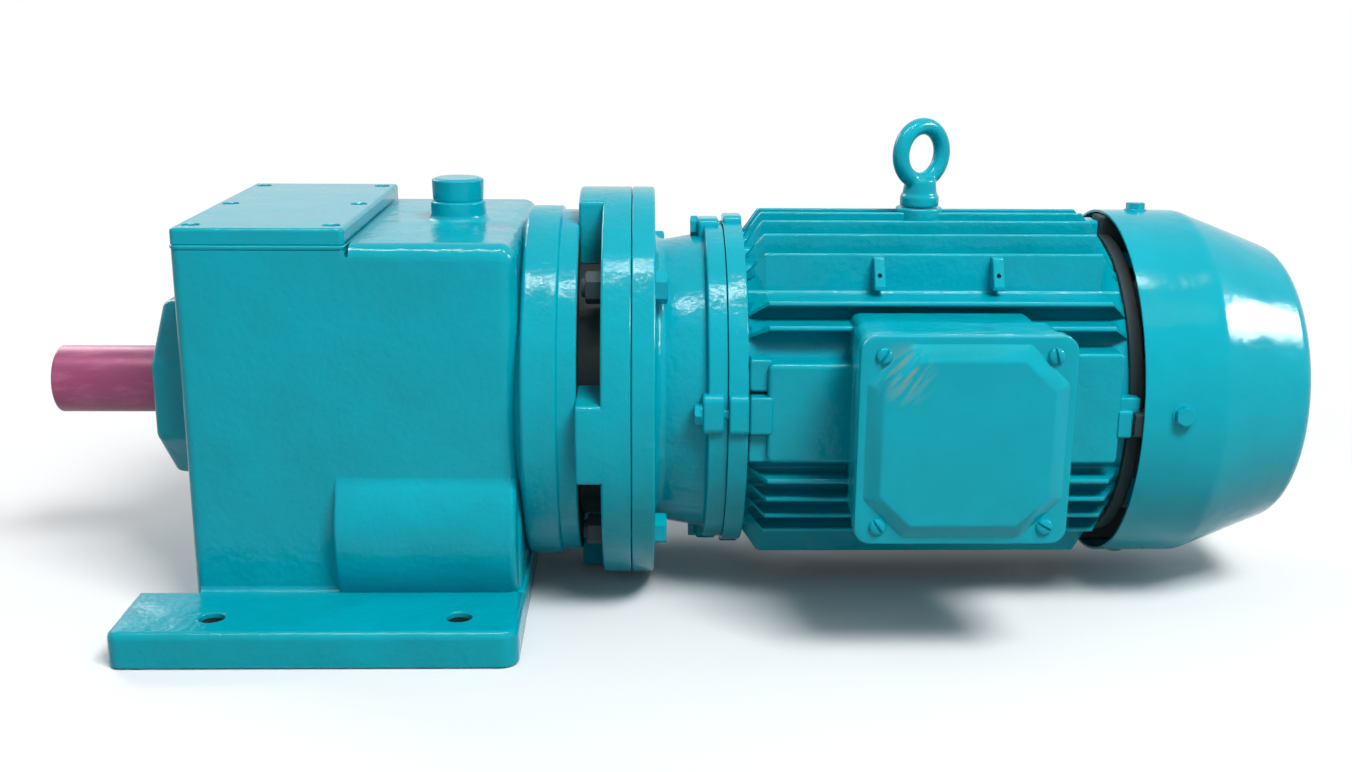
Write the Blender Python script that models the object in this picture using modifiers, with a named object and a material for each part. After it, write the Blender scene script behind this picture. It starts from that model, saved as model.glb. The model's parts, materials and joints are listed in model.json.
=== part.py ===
"""Helical gear motor: a foot-mounted, two-stage coaxial gear unit and a fan-cooled motor on its adapter.

Metres. The shaft line runs along X at Y = 0 and the feet stand on Z = 0.
X = 0 is the centre of the foot holes.
The output shaft points to -X and the motor's fan to +X. The terminal box is on the -Y side.
"""

import math

import bmesh
import bpy
from mathutils import Matrix, Vector

# Gap between pieces that touch, and steps round a large, a middling and a small turned piece
CLEARANCE = 0.0003
LARGE_STEPS = 32
SHAFT_STEPS = 16
SMALL_STEPS = 12
HOLE_STEPS = 8

# Shaft lines of the gear unit
SHAFT_HEIGHT = 0.180
CENTRE_DISTANCE = 0.100
LAYSHAFT_ANGLE = math.radians(53)

# Gear train
PRESSURE_ANGLE = math.radians(20)
BACKLASH = 0.0004
ROOT_CLEARANCE = 0.25
FIRST_PINION_TEETH = 17
FIRST_WHEEL_TEETH = 59
FIRST_MODULE = 0.0025
SECOND_PINION_TEETH = 15
SECOND_WHEEL_TEETH = 49
SECOND_MODULE = 0.003
FIRST_GEAR_X = 0.070
FIRST_GEAR_WIDTH = 0.040
SECOND_GEAR_X = -0.085
SECOND_GEAR_WIDTH = 0.060

# Gear housing
HOUSING_FRONT = -0.126
HOUSING_REAR = 0.147
HOUSING_HALF_WIDTH = 0.142
HOUSING_TOP = 0.327
HOUSING_WALL = 0.020
HOUSING_EDGE_RADIUS = 0.014
FRONT_EDGE_RADIUS = 0.008
FRONT_WALL = 0.022
REAR_WALL_FRONT = 0.118
OIL_FLOOR = 0.014
WEB_FRONT = 0.016
WEB_REAR = 0.046
BODY_JOG = 0.0006

# Feet
FOOT_FRONT = -0.177
FOOT_REAR = 0.150
FOOT_REACH = 0.0856
FOOT_HALF_WIDTH = HOUSING_HALF_WIDTH + FOOT_REACH
FOOT_THICKNESS = 0.0308
FOOT_CORNER_RADIUS = 0.016
FOOT_HOLE_X = 0.100
FOOT_HOLE_REACH = 0.053
FOOT_HOLE_Y = HOUSING_HALF_WIDTH + FOOT_HOLE_REACH
FOOT_HOLE_RADIUS = 0.010

# Output boss
BOSS_FACE = -0.172
BOSS_FLAT = 0.078
BOSS_DRAFT = 0.005

# Layshaft bulge on the near side
BULGE_FRONT = -0.006
BULGE_REAR = 0.144
BULGE_CENTRE = (-0.083, 0.078)
BULGE_RADIUS = 0.0775
WHEEL_WELL_RADIUS = 0.086
WHEEL_WELL_FRONT = 0.060

# Motor-side neck and flange of the housing
NECK_RADIUS = 0.158
NECK_ROOT_STEP = 0.021
NECK_SHOULDER_STEP = 0.0178
NECK_RING_END = 0.178
NECK_STEP_RADIUS = 0.1545
NECK_END = 0.195
POCKET_FLOOR_RADIUS = 0.128
POCKET_END = 0.215
FLANGE_FACE = 0.240
FLANGE_RADIUS = 0.175
FLANGE_BORE = 0.112
FLANGE_SPIGOT_RADIUS = 0.125
FLANGE_SPIGOT_DEPTH = 0.005
RIB_HALF_WIDTH = 0.034
FLANGE_BOLT_RADIUS = 0.150
INPUT_HUB_RADIUS = 0.058
INPUT_HUB_END = 0.210
NECK_FLOOR = 0.155

# Inspection cover
COVER_SEAT = 0.3235
COVER_FRONT = -0.1277
COVER_REAR = 0.0108
COVER_SIDE_STEP = 0.0015
COVER_HALF_WIDTH = HOUSING_HALF_WIDTH - COVER_SIDE_STEP
COVER_THICKNESS = 0.014
COVER_STEP = 0.015
COVER_EDGE_RADIUS = 0.003
GASKET_THICKNESS = 0.002
COVER_SCREW_X = (-0.1145, -0.0015)
COVER_SCREW_INSET = 0.018
COVER_SCREW_Y = (COVER_SCREW_INSET - COVER_HALF_WIDTH, 0.0, COVER_HALF_WIDTH - COVER_SCREW_INSET)
OPENING_FRONT = -0.100
OPENING_REAR = -0.014
COVER_LAND = 0.034
OPENING_HALF_WIDTH = HOUSING_HALF_WIDTH - COVER_LAND

# Breather and oil plugs
BREATHER_X = 0.086
BREATHER_BOSS_RADIUS = 0.024
BREATHER_BOSS_TOP = 0.344
BREATHER_CAP_RADIUS = 0.0225
BREATHER_CAP_TOP = 0.364
BREATHER_THREAD_RADIUS = 0.011
OIL_PLUG_X = -0.060
OIL_PLUG_HEIGHTS = (0.058, 0.165)
OIL_PLUG_THREAD_RADIUS = 0.0085
OIL_PLUG_HEAD_RADIUS = 0.0135

# Output shaft, its seal and its bearings
OUTPUT_END = -0.2773
OUTPUT_EXTENSION = 0.120
OUTPUT_RADIUS = 0.030
OUTPUT_FRONT_SEAT = 0.0325
OUTPUT_COLLAR_RADIUS = 0.040
OUTPUT_WHEEL_SEAT = 0.035
OUTPUT_REAR_SEAT = 0.030
OUTPUT_SHAFT_REAR = 0.045
OUTPUT_CENTRE_HOLE = 0.0085
OUTPUT_CENTRE_DEPTH = 0.042
OUTPUT_FRONT_BEARING = (-0.144, 0.023, 0.0325, 0.060)
OUTPUT_REAR_BEARING = (0.020, 0.022, 0.030, 0.055)
OUTPUT_SEAL_X = -0.158
OUTPUT_SEAL_WIDTH = 0.010
OUTPUT_SEAL_RADIUS = 0.045
BOSS_RECESS_RADIUS = 0.050
SHAFT_KEY_WIDTH = 0.018
SHAFT_KEY_HEIGHT = 0.011
SHAFT_KEY_DEPTH = 0.007
SHAFT_KEY_LENGTH = 0.100
SHAFT_KEY_TURN = math.radians(-130)
WHEEL_KEY_WIDTH = 0.016
WHEEL_KEY_HEIGHT = 0.010
WHEEL_KEY_DEPTH = 0.006

# Layshaft and its bearings
LAYSHAFT_RADIUS = 0.019
LAYSHAFT_BODY_RADIUS = 0.024
LAYSHAFT_WHEEL_SEAT = 0.020
LAYSHAFT_FRONT_BEARING = (-0.117, 0.019, 0.015, 0.036)
LAYSHAFT_REAR_BEARING = (0.120, 0.019, 0.015, 0.036)
LAYSHAFT_BOSS_RADIUS = 0.045
LAYSHAFT_BOSS_REAR = -0.094
LAYSHAFT_PASSAGE_RADIUS = 0.033

# Input pinion shaft and its bearings
INPUT_PINION_STUB = 0.064
INPUT_SHOULDER_RADIUS = 0.026
INPUT_SEAT = 0.0225
INPUT_SEAL_SEAT = 0.0215
INPUT_COUPLING_SEAT = 0.019
INPUT_SHAFT_REAR = 0.254
INPUT_FRONT_BEARING = (0.124, 0.019, 0.0225, 0.0425)
INPUT_REAR_BEARING = (0.178, 0.019, 0.0225, 0.0425)
INPUT_SEAL_X = 0.2000
INPUT_SEAL_WIDTH = 0.008
INPUT_SEAL_RADIUS = 0.0325

# Rolling elements
BALL_COUNT = 5
BALL_SEAT = 0.0010
RING_SHARE = 0.30

# Jaw coupling
COUPLING_RADIUS = 0.040
COUPLING_FRONT = 0.220
COUPLING_JAW_ROOT = 0.256
COUPLING_JAW_GAP = 0.018
COUPLING_REAR = 0.312
COUPLING_JAW_LENGTH = 0.0165
COUPLING_JAW_INNER = 0.0225
COUPLING_ARM_HALF_ANGLE = math.radians(9)
SPIDER_HOLE = 0.009
SPIDER_HUB = 0.0215

# The motor's shell, which the sizes round it follow
FRAME_SHELL_RADIUS = 0.132
FRAME_WALL = 0.007
FRAME_BORE = FRAME_SHELL_RADIUS - FRAME_WALL
FIN_HEIGHT = 0.0244
FIN_TIP_RADIUS = FRAME_SHELL_RADIUS + FIN_HEIGHT
SHIELD_STEP = 0.014
SHIELD_RADIUS = FRAME_SHELL_RADIUS + SHIELD_STEP

# Motor adapter
ADAPTER_PLATE = 0.020
ADAPTER_PLATE_END = FLANGE_FACE + ADAPTER_PLATE
ADAPTER_LENGTH = 0.080
ADAPTER_END = FLANGE_FACE + ADAPTER_LENGTH
ADAPTER_CONE_FRONT_RADIUS = 0.125
ADAPTER_RING_STEP = 0.003
ADAPTER_CONE_STEP = 0.009
ADAPTER_RING_LENGTH = 0.017
ADAPTER_RING_FRONT = ADAPTER_END - ADAPTER_RING_LENGTH
ADAPTER_RING_RADIUS = SHIELD_RADIUS - ADAPTER_RING_STEP
ADAPTER_CONE_REAR_RADIUS = ADAPTER_RING_RADIUS - ADAPTER_CONE_STEP
ADAPTER_BORE = 0.108
MOTOR_SPIGOT_RADIUS = 0.115
MOTOR_SPIGOT_DEPTH = 0.005

# Lugs that join adapter and motor, at 12, 3, 6 and 9 o'clock
LUG_HALF_WIDTH = 0.017
LUG_REACH = 0.0215
LUG_TOP = FRAME_SHELL_RADIUS + LUG_REACH
LUG_ROOT = 0.012
LUG_BOTTOM = FRAME_SHELL_RADIUS - LUG_ROOT
LUG_LENGTH = 0.0185
LUG_GAP = 0.0035
LUG_REAR = ADAPTER_END - LUG_GAP
LUG_FRONT = LUG_REAR - LUG_LENGTH
LUG_BOLT_INSET = 0.010
LUG_BOLT_RADIUS = LUG_TOP - LUG_BOLT_INSET

# Motor
SHIELD_THICKNESS = 0.017
FRAME_FRONT = ADAPTER_END + SHIELD_THICKNESS
FRAME_LENGTH = 0.318
FRAME_REAR = FRAME_FRONT + FRAME_LENGTH
FRAME_CENTRE = (FRAME_FRONT + FRAME_REAR) / 2
FIN_HALF_THICKNESS = 0.0021
FIN_SLOPE = 0.017
VERTICAL_FIN_SHARE = 2 / 11
VERTICAL_FIN_PITCH = FRAME_SHELL_RADIUS * VERTICAL_FIN_SHARE
UPPER_FINS = 8
LOWER_FINS = 6
SIDE_FIN_SHARE = 0.1379
SIDE_FIN_PITCH = FRAME_SHELL_RADIUS * SIDE_FIN_SHARE
SIDE_TOP_SHARE = 8 / 11
SIDE_FIN_TOP = FRAME_SHELL_RADIUS * SIDE_TOP_SHARE
NEAR_SIDE_FINS = (0, 1, 8, 9, 10, 11)
FAR_SIDE_FINS = tuple(range(12))
REAR_LUG_LENGTH = 0.012
REAR_LUG_INSET = 0.004
REAR_LUG_TOP = LUG_TOP - REAR_LUG_INSET
REAR_LUG_HALF_WIDTH = 0.012
SIDE_PAD_DEPTH = 0.016
SIDE_PAD_FACE = FRAME_SHELL_RADIUS + SIDE_PAD_DEPTH
SIDE_PAD_HEIGHTS = (0.146, 0.240)
SIDE_PAD_MARGIN = 0.010
SIDE_PAD_EDGE_RADIUS = 0.004
SMALL_PAD_DEPTH = 0.009
SMALL_PAD_FACE = FRAME_SHELL_RADIUS + SMALL_PAD_DEPTH
SMALL_PAD_LENGTH = 0.016
SMALL_PAD_HEIGHT = 0.025
SMALL_PAD_BOTTOMS = (0.145, 0.203)
LUG_BAR_DEPTH = 0.018
LUG_BAR_FACE = FRAME_SHELL_RADIUS + LUG_BAR_DEPTH
LUG_BAR_LENGTH = 0.019
LUG_BAR_HEIGHTS = (0.164, 0.197)
FIN_LUG_OFFSETS = (-0.0485, 0.0515)
FIN_LUG_HALF_LENGTH = 0.0045
FIN_LUG_REACH = 0.020
FIN_LUG_DROP = 0.0029
FIN_LUG_HEIGHT = 0.025
SPIGOT_LENGTH = 0.008
MOTOR_EXTENSION_RADIUS = 0.021
MOTOR_EXTENSION = 0.060
MOTOR_SHAFT_FRONT = FRAME_FRONT - MOTOR_EXTENSION
MOTOR_COLLAR_RADIUS = 0.027
DRIVE_BEARING_INSET = 0.015
DRIVE_BEARING = (FRAME_FRONT - DRIVE_BEARING_INSET, 0.025, 0.0225, 0.050)
REAR_BEARING_INSET = 0.007
REAR_BEARING = (FRAME_REAR - REAR_BEARING_INSET, 0.019, 0.0225, 0.0425)
SHIELD_LAND_RADIUS = 0.030
DRIVE_SHIELD_WALL = 0.012
SHIELD_HOLE_FLOOR = 0.0025
HUB_MARGIN = 0.004
REAR_SHIELD_WALL = 0.010
REAR_SHIELD_STEP = 0.001
REAR_SHIELD_RADIUS = SHIELD_RADIUS - REAR_SHIELD_STEP
REAR_SHIELD_RIM = 0.012
CORE_FRONT_SPACE = 0.075
CORE_REAR_SPACE = 0.083
CORE_FRONT = FRAME_FRONT + CORE_FRONT_SPACE
CORE_REAR = FRAME_REAR - CORE_REAR_SPACE
STATOR_DEPTH = 0.045
STATOR_BORE = FRAME_BORE - STATOR_DEPTH
AIR_GAP = 0.0006
STATOR_SLOTS = 6
SLOT_SHARE = 0.5
SLOT_LIP = 0.004
SLOT_INNER = STATOR_BORE + SLOT_LIP
CORE_BACK = 0.020
SLOT_OUTER = FRAME_BORE - CORE_BACK
WINDING_LENGTH = 0.036
ROTOR_RING_LENGTH = 0.014
FAN_SEAT = 0.019
FAN_EXTENSION = 0.117
MOTOR_SHAFT_REAR = FRAME_REAR + FAN_EXTENSION

# Fan and cowl
FAN_SPACE = 0.061
FAN_FRONT = FRAME_REAR + FAN_SPACE
FAN_LENGTH = 0.044
FAN_RADIUS = 0.124
FAN_HUB_RADIUS = 0.031
FAN_BLADES = 8
FAN_BLADE_THICKNESS = 0.0035
FAN_DISC_THICKNESS = 0.004
COWL_SPACE = 0.0068
COWL_RIM = FRAME_REAR + COWL_SPACE
COWL_INSET = 0.0005
COWL_RADIUS = FIN_TIP_RADIUS - COWL_INSET
COWL_CYLINDER = 0.0678
COWL_SHOULDER = COWL_RIM + COWL_CYLINDER
COWL_CONE = 0.088
COWL_END = COWL_SHOULDER + COWL_CONE
COWL_TAPER = 0.0349
COWL_END_RADIUS = COWL_RADIUS - COWL_TAPER
COWL_EDGE_RADIUS = 0.016
COWL_SHEET = 0.002
COWL_LUG_REACH = 0.0442
COWL_LUG_REAR = COWL_RIM + COWL_LUG_REACH
COWL_LUG_HALF_WIDTH = 0.016
COWL_LUG_GAP = 0.0016
GRILLE_BARS = 8
GRILLE_RINGS = ((0.028, 0.052), (0.060, 0.090))
GRILLE_BAR_WIDTH = 0.006

# Eye bolt
EYE_HOLE_RADIUS = 0.0175
EYE_OUTER_RADIUS = 0.0315
EYE_BOSS_HEIGHT = 0.028
EYE_SHOULDER = SHAFT_HEIGHT + FRAME_SHELL_RADIUS + EYE_BOSS_HEIGHT
EYE_COLLAR_RADIUS = 0.0175
EYE_COLLAR_HEIGHT = 0.009
EYE_CENTRE_HEIGHT = 0.0465
EYE_THREAD_RADIUS = 0.008
EYE_THREAD_LENGTH = 0.026
EYE_TURN = math.radians(32)
EYE_BOSS_RADIUS = 0.021

# Terminal box
BOX_CENTRE_HEIGHT = 0.193
BOX_HALF = 0.083
BOX_PAD_DEPTH = 0.044
BOX_SEAT = FRAME_SHELL_RADIUS + BOX_PAD_DEPTH
BOX_DEPTH = 0.057
BOX_RIM = BOX_SEAT + BOX_DEPTH
BOX_WALL = 0.005
BOX_EDGE_RADIUS = 0.010
LID_GASKET_THICKNESS = 0.0014
LID_THICKNESS = 0.005
LID_PANEL_HEIGHT = 0.008
LID_PANEL_INSET = 0.006
LID_PANEL_HALF = BOX_HALF - LID_PANEL_INSET
LID_PANEL_SLOPE = 0.013
LID_PANEL_CORNER = 0.031
LID_SCREW_INSETS = (0.018, 0.015)
LID_SCREW_SPACING = (BOX_HALF - LID_SCREW_INSETS[0], BOX_HALF - LID_SCREW_INSETS[1])
BOX_POST_RADIUS = 0.0085
BOX_PAD_INSET = 0.008
BOX_PAD_HALF = BOX_HALF - BOX_PAD_INSET
CABLE_HOLE_RADIUS = 0.018
GLAND_RADIUS = 0.016
GLAND_OFFSET = 0.036
BOARD_HALF_X = 0.038
BOARD_HALF_Z = 0.030
BOARD_THICKNESS = 0.008
BOARD_STANDOFF = 0.009
BOARD_STAND_RADIUS = 0.0052
BOARD_CORNER_RADIUS = 0.005
STUD_PITCH = 0.024
STUD_ROW = 0.017
STUD_RADIUS = 0.003
STUD_LENGTH = 0.012

# Threads: radii and, for the flange bolts, the hexagon's circumradius and the head's height
M6 = 0.003
M8 = 0.004
M10 = 0.005
M16 = (0.008, 0.0139, 0.010)
HOLE_ALLOWANCE = 0.0008

SHAFT_LINE = (0.0, SHAFT_HEIGHT)
LAYSHAFT_LINE = (
    -CENTRE_DISTANCE * math.cos(LAYSHAFT_ANGLE),
    SHAFT_HEIGHT - CENTRE_DISTANCE * math.sin(LAYSHAFT_ANGLE),
)
QUARTERS = tuple(math.radians(a) for a in (0, 90, 180, 270))
DIAGONALS = tuple(math.radians(a) for a in (45, 135, 225, 315))

PARTS = bpy.data.collections.new("helical_gear_motor")
CUTTERS = bpy.data.collections.new("cutters")


def clear_scene():
    for old in list(bpy.data.objects):
        bpy.data.objects.remove(old, do_unlink=True)
    for collection in (PARTS, CUTTERS):
        bpy.context.scene.collection.children.link(collection)


def add(name, bm, location=(0, 0, 0), rotation=(0, 0, 0)):
    """A new object in the parts collection, from a bmesh that is then freed."""
    mesh = bpy.data.meshes.new(name)
    bm.to_mesh(mesh)
    bm.free()
    piece = bpy.data.objects.new(name, mesh)
    piece.location = location
    piece.rotation_euler = rotation
    PARTS.objects.link(piece)
    return piece


def evaluated_mesh(piece):
    bpy.context.view_layer.update()
    graph = bpy.context.evaluated_depsgraph_get()
    return bpy.data.meshes.new_from_object(piece.evaluated_get(graph))


def boolean(body, tool, operation):
    modifier = body.modifiers.new(tool.name, "BOOLEAN")
    modifier.operation = operation
    modifier.solver = "EXACT"
    modifier.object = tool
    PARTS.objects.unlink(tool)
    CUTTERS.objects.link(tool)
    tool.hide_render = True
    tool.display_type = "WIRE"


def cut(body, *tools):
    for tool in tools:
        boolean(body, tool, "DIFFERENCE")


def join(body, *tools):
    for tool in tools:
        boolean(body, tool, "UNION")


def signed_area(points):
    pairs = zip(points, points[1:] + points[:1])
    return sum(r0 * x1 - r1 * x0 for (x0, r0), (x1, r1) in pairs) / 2


def turned(name, *profiles, line=SHAFT_LINE, steps=LARGE_STEPS):
    """Revolve closed profiles of (x, radius) points round the line along X through (y, z)."""
    bm = bmesh.new()
    for profile in profiles:
        points = list(profile)
        if signed_area(points) > 0:
            points.reverse()
        while 0 in (points[0][1], points[-1][1]) and points[0][1] != points[-1][1]:
            points.append(points.pop(0))
        verts = [bm.verts.new((radius, 0, x)) for x, radius in points]
        for start, end in zip(verts, verts[1:]):
            bm.edges.new((start, end))
        if points[0][1] != 0:
            bm.edges.new((verts[-1], verts[0]))
    piece = add(name, bm, (0, *line), (0, math.pi / 2, 0))
    screw(piece, steps)
    return piece


def screw(piece, steps):
    modifier = piece.modifiers.new("Screw", "SCREW")
    modifier.axis = "Z"
    modifier.steps = steps
    modifier.render_steps = steps
    modifier.use_merge_vertices = True
    modifier.merge_threshold = 0.00001


def block(name, low, high, edges=None, radius=0.0):
    """A box between two corners. edges(start, end) says which of its edges are rounded."""
    bm = bmesh.new()
    size = Vector(high) - Vector(low)
    centre = (Vector(high) + Vector(low)) / 2
    bmesh.ops.create_cube(bm, size=1, matrix=Matrix.LocRotScale(centre, None, size))
    if edges:
        chosen = [e for e in bm.edges if edges(e.verts[0].co - centre, e.verts[1].co - centre)]
        bmesh.ops.bevel(bm, geom=chosen, offset=radius, segments=2, profile=0.5, affect="EDGES")
    return add(name, bm)


def upright(start, end):
    return abs(start.z - end.z) > abs(start.x - end.x) + abs(start.y - end.y)


def upright_or_top(start, end):
    return upright(start, end) or (start.z > 0 and end.z > 0)


def along_y(start, end):
    return abs(start.y - end.y) > abs(start.x - end.x) + abs(start.z - end.z)


def front_of_box(start, end):
    return along_y(start, end) or (start.y < 0 and end.y < 0)


def rods(name, radius, spans, sides=SMALL_STEPS):
    """Cylinders of one radius, each between the two points of a span."""
    bm = bmesh.new()
    for start, end in spans:
        start, end = Vector(start), Vector(end)
        direction = end - start
        turn = direction.to_track_quat("Z", "Y")
        place = Matrix.LocRotScale((start + end) / 2, turn, None)
        bmesh.ops.create_cone(
            bm,
            cap_ends=True,
            segments=sides,
            radius1=radius,
            radius2=radius,
            depth=direction.length,
            matrix=place,
        )
    return add(name, bm)


def outline(name, loops, start, end, line=(0.0, 0.0)):
    """A flat outline of (y, z) loops, holes included, drawn out along X from start to end."""
    curve = bpy.data.curves.new(name, "CURVE")
    curve.dimensions = "2D"
    curve.fill_mode = "BOTH"
    curve.extrude = (end - start) / 2
    for loop in loops:
        spline = curve.splines.new("POLY")
        spline.points.add(len(loop) - 1)
        for point, (y, z) in zip(spline.points, loop):
            point.co = (-z, y, 0, 1)
        spline.use_cyclic_u = True
    drawn = bpy.data.objects.new(name, curve)
    PARTS.objects.link(drawn)
    mesh = evaluated_mesh(drawn)
    bpy.data.objects.remove(drawn, do_unlink=True)
    bm = bmesh.new()
    bm.from_mesh(mesh)
    bpy.data.meshes.remove(mesh)
    bmesh.ops.remove_doubles(bm, verts=bm.verts, dist=0.000001)
    bmesh.ops.recalc_face_normals(bm, faces=bm.faces)
    return add(name, bm, ((start + end) / 2, *line), (0, math.pi / 2, 0))


def running_bore(radius):
    """Radius of a faceted bore that clears a shaft of this radius as it turns."""
    return radius / math.cos(math.pi / SHAFT_STEPS) + CLEARANCE


def ring_points(radius, angles, line=(0.0, 0.0)):
    """(y, z) points on a circle, each angle measured from +Z towards -Y."""
    return [(line[0] - radius * math.sin(a), line[1] + radius * math.cos(a)) for a in angles]


def even_angles(count, start=0.0, sweep=2 * math.pi, closed=True):
    last = count if closed else count - 1
    return [start + sweep * i / last for i in range(count)]


def about_shaft(piece, angle, line=SHAFT_LINE):
    """Turn a piece about a shaft line, from +Z towards -Y."""
    centre = Matrix.Translation((0, *line))
    bpy.context.view_layer.update()
    piece.matrix_world = centre @ Matrix.Rotation(angle, 4, "X") @ centre.inverted() @ piece.matrix_world
    return piece


def add_stack(bm, sections, foot, direction):
    """A solid of 12-sided sections (height, radius, is_hexagon) along direction from foot."""
    turn = Vector(direction).to_track_quat("Z", "Y").to_matrix().to_4x4()
    place = Matrix.Translation(foot) @ turn
    rings = []
    for height, radius, is_hexagon in sections:
        ring = []
        for i in range(SMALL_STEPS):
            angle = 2 * math.pi * i / SMALL_STEPS
            reach = radius * math.cos(math.pi / 6) if is_hexagon and i % 2 else radius
            corner = Vector((reach * math.cos(angle), reach * math.sin(angle), height))
            ring.append(bm.verts.new(place @ corner))
        rings.append(ring)
    for low, high in zip(rings, rings[1:]):
        for i in range(SMALL_STEPS):
            j = (i + 1) % SMALL_STEPS
            bm.faces.new((low[i], low[j], high[j], high[i]))
    bm.faces.new(list(reversed(rings[0])))
    bm.faces.new(rings[-1])


def hex_bolt(name, size, shank_length, foot, direction):
    """A hexagon-head bolt with its head seated at foot and its shank running against direction."""
    thread, corner, head = size
    sections = (
        (-shank_length, thread, False),
        (CLEARANCE, thread, False),
        (CLEARANCE, corner, True),
        (head * 0.86, corner, True),
        (head, corner * 0.86, False),
    )
    bm = bmesh.new()
    add_stack(bm, sections, foot, direction)
    return add(name, bm)


def involute(angle):
    return math.tan(angle) - angle


def gear_sizes(teeth, module, partner_teeth):
    """Radii of one wheel of a helical pair whose helix makes the centre distance exact."""
    cos_helix = module * (teeth + partner_teeth) / (2 * CENTRE_DISTANCE)
    pitch = module * teeth / (2 * cos_helix)
    transverse = math.atan(math.tan(PRESSURE_ANGLE) / cos_helix)
    return {
        "pitch": pitch,
        "base": pitch * math.cos(transverse),
        "tip": pitch + module,
        "root": pitch - (1 + ROOT_CLEARANCE) * module,
        "transverse": transverse,
        "helix": math.acos(cos_helix),
    }


def tooth_outline(teeth, sizes, flank_points):
    """(radius, angle) points of all teeth, the first tooth centred on angle 0."""
    half_pitch = math.pi / (2 * teeth) - BACKLASH / (4 * sizes["pitch"])

    def half_angle(radius):
        contact = math.acos(min(1.0, sizes["base"] / max(radius, sizes["base"])))
        return half_pitch + involute(sizes["transverse"]) - involute(contact)

    start = max(sizes["root"], sizes["base"])
    steps = flank_points - 1
    radii = [start + (sizes["tip"] - start) * i / steps for i in range(flank_points)]
    if sizes["root"] < sizes["base"]:
        radii.insert(0, sizes["root"])
    points = []
    for tooth in range(teeth):
        centre = 2 * math.pi * tooth / teeth
        points += [(radius, centre - half_angle(radius)) for radius in radii]
        points += [(radius, centre + half_angle(radius)) for radius in reversed(radii)]
    return points


def helical_gear(name, teeth, sizes, hand, phase, front, width, line, flank_points, steps):
    """Sweep a tooth outline along its helix. phase turns the first tooth from +Z towards -Y."""
    bm = bmesh.new()
    verts = []
    for radius, angle in tooth_outline(teeth, sizes, flank_points):
        y, z = ring_points(radius, [angle + phase])[0]
        verts.append(bm.verts.new((-z, y, 0)))
    face = bm.faces.new(verts)
    twist = width * math.tan(sizes["helix"]) / sizes["pitch"]
    bmesh.ops.spin(
        bm,
        geom=[face, *face.edges, *face.verts],
        cent=(0, 0, 0),
        axis=(0, 0, 1),
        dvec=(0, 0, width / steps),
        angle=hand * twist,
        steps=steps,
    )
    bmesh.ops.recalc_face_normals(bm, faces=bm.faces)
    return add(name, bm, (front, *line), (0, math.pi / 2, 0))


def mesh_phases(wheel_teeth):
    """Angle from the shaft line to the layshaft, and half a tooth of the wheel."""
    to_layshaft = math.pi / 2 + LAYSHAFT_ANGLE
    half_tooth = math.pi / wheel_teeth
    return to_layshaft, half_tooth


def first_stage_sizes():
    pinion = gear_sizes(FIRST_PINION_TEETH, FIRST_MODULE, FIRST_WHEEL_TEETH)
    wheel = gear_sizes(FIRST_WHEEL_TEETH, FIRST_MODULE, FIRST_PINION_TEETH)
    return pinion, wheel


def second_stage_sizes():
    pinion = gear_sizes(SECOND_PINION_TEETH, SECOND_MODULE, SECOND_WHEEL_TEETH)
    wheel = gear_sizes(SECOND_WHEEL_TEETH, SECOND_MODULE, SECOND_PINION_TEETH)
    return pinion, wheel


def housing_body():
    """Two overlapping cast boxes, the feet, the output boss and the layshaft bulge."""
    front = block(
        "gear_housing",
        (HOUSING_FRONT, BODY_JOG - HOUSING_HALF_WIDTH, FOOT_THICKNESS / 2),
        (COVER_STEP - 2 * BODY_JOG, HOUSING_HALF_WIDTH - BODY_JOG, COVER_SEAT + HOUSING_EDGE_RADIUS),
        upright,
        FRONT_EDGE_RADIUS,
    )
    rear = block(
        "housing_rear",
        (COVER_STEP - 2 * HOUSING_EDGE_RADIUS, -HOUSING_HALF_WIDTH, FOOT_THICKNESS / 2),
        (HOUSING_REAR, HOUSING_HALF_WIDTH, HOUSING_TOP),
        upright_or_top,
        HOUSING_EDGE_RADIUS,
    )
    above_seat = block(
        "cover_seat_cutter",
        (2 * HOUSING_FRONT, -2 * HOUSING_HALF_WIDTH, COVER_SEAT),
        (COVER_STEP, 2 * HOUSING_HALF_WIDTH, 2 * HOUSING_TOP),
    )
    feet = block(
        "feet",
        (FOOT_FRONT, -FOOT_HALF_WIDTH, 0),
        (FOOT_REAR, FOOT_HALF_WIDTH, FOOT_THICKNESS),
        upright,
        FOOT_CORNER_RADIUS,
    )
    between_feet = block(
        "between_feet_cutter",
        (2 * FOOT_FRONT, 5 * BODY_JOG - HOUSING_HALF_WIDTH, -FOOT_THICKNESS),
        (HOUSING_FRONT + 4 * BODY_JOG, HOUSING_HALF_WIDTH - 5 * BODY_JOG, 2 * FOOT_THICKNESS),
    )
    join(front, rear)
    cut(front, above_seat)
    cut(feet, between_feet)
    join(front, feet, output_boss(), layshaft_bulge())
    return front


def output_boss():
    """An eight-sided cast boss, wider at its root."""
    root = BOSS_FLAT + BOSS_DRAFT
    length = HOUSING_FRONT + FRONT_WALL / 2 - BOSS_FACE
    bm = bmesh.new()
    bmesh.ops.create_cone(
        bm,
        cap_ends=True,
        segments=8,
        radius1=BOSS_FLAT / math.cos(math.pi / 8),
        radius2=root / math.cos(math.pi / 8),
        depth=length,
        matrix=Matrix.Rotation(math.pi / 8, 4, "Z"),
    )
    piece = add("output_boss", bm, (BOSS_FACE + length / 2, *SHAFT_LINE), (0, math.pi / 2, 0))
    bevel = piece.modifiers.new("Bevel", "BEVEL")
    bevel.width = FRONT_EDGE_RADIUS
    bevel.segments = 2
    bevel.limit_method = "ANGLE"
    return piece


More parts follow.
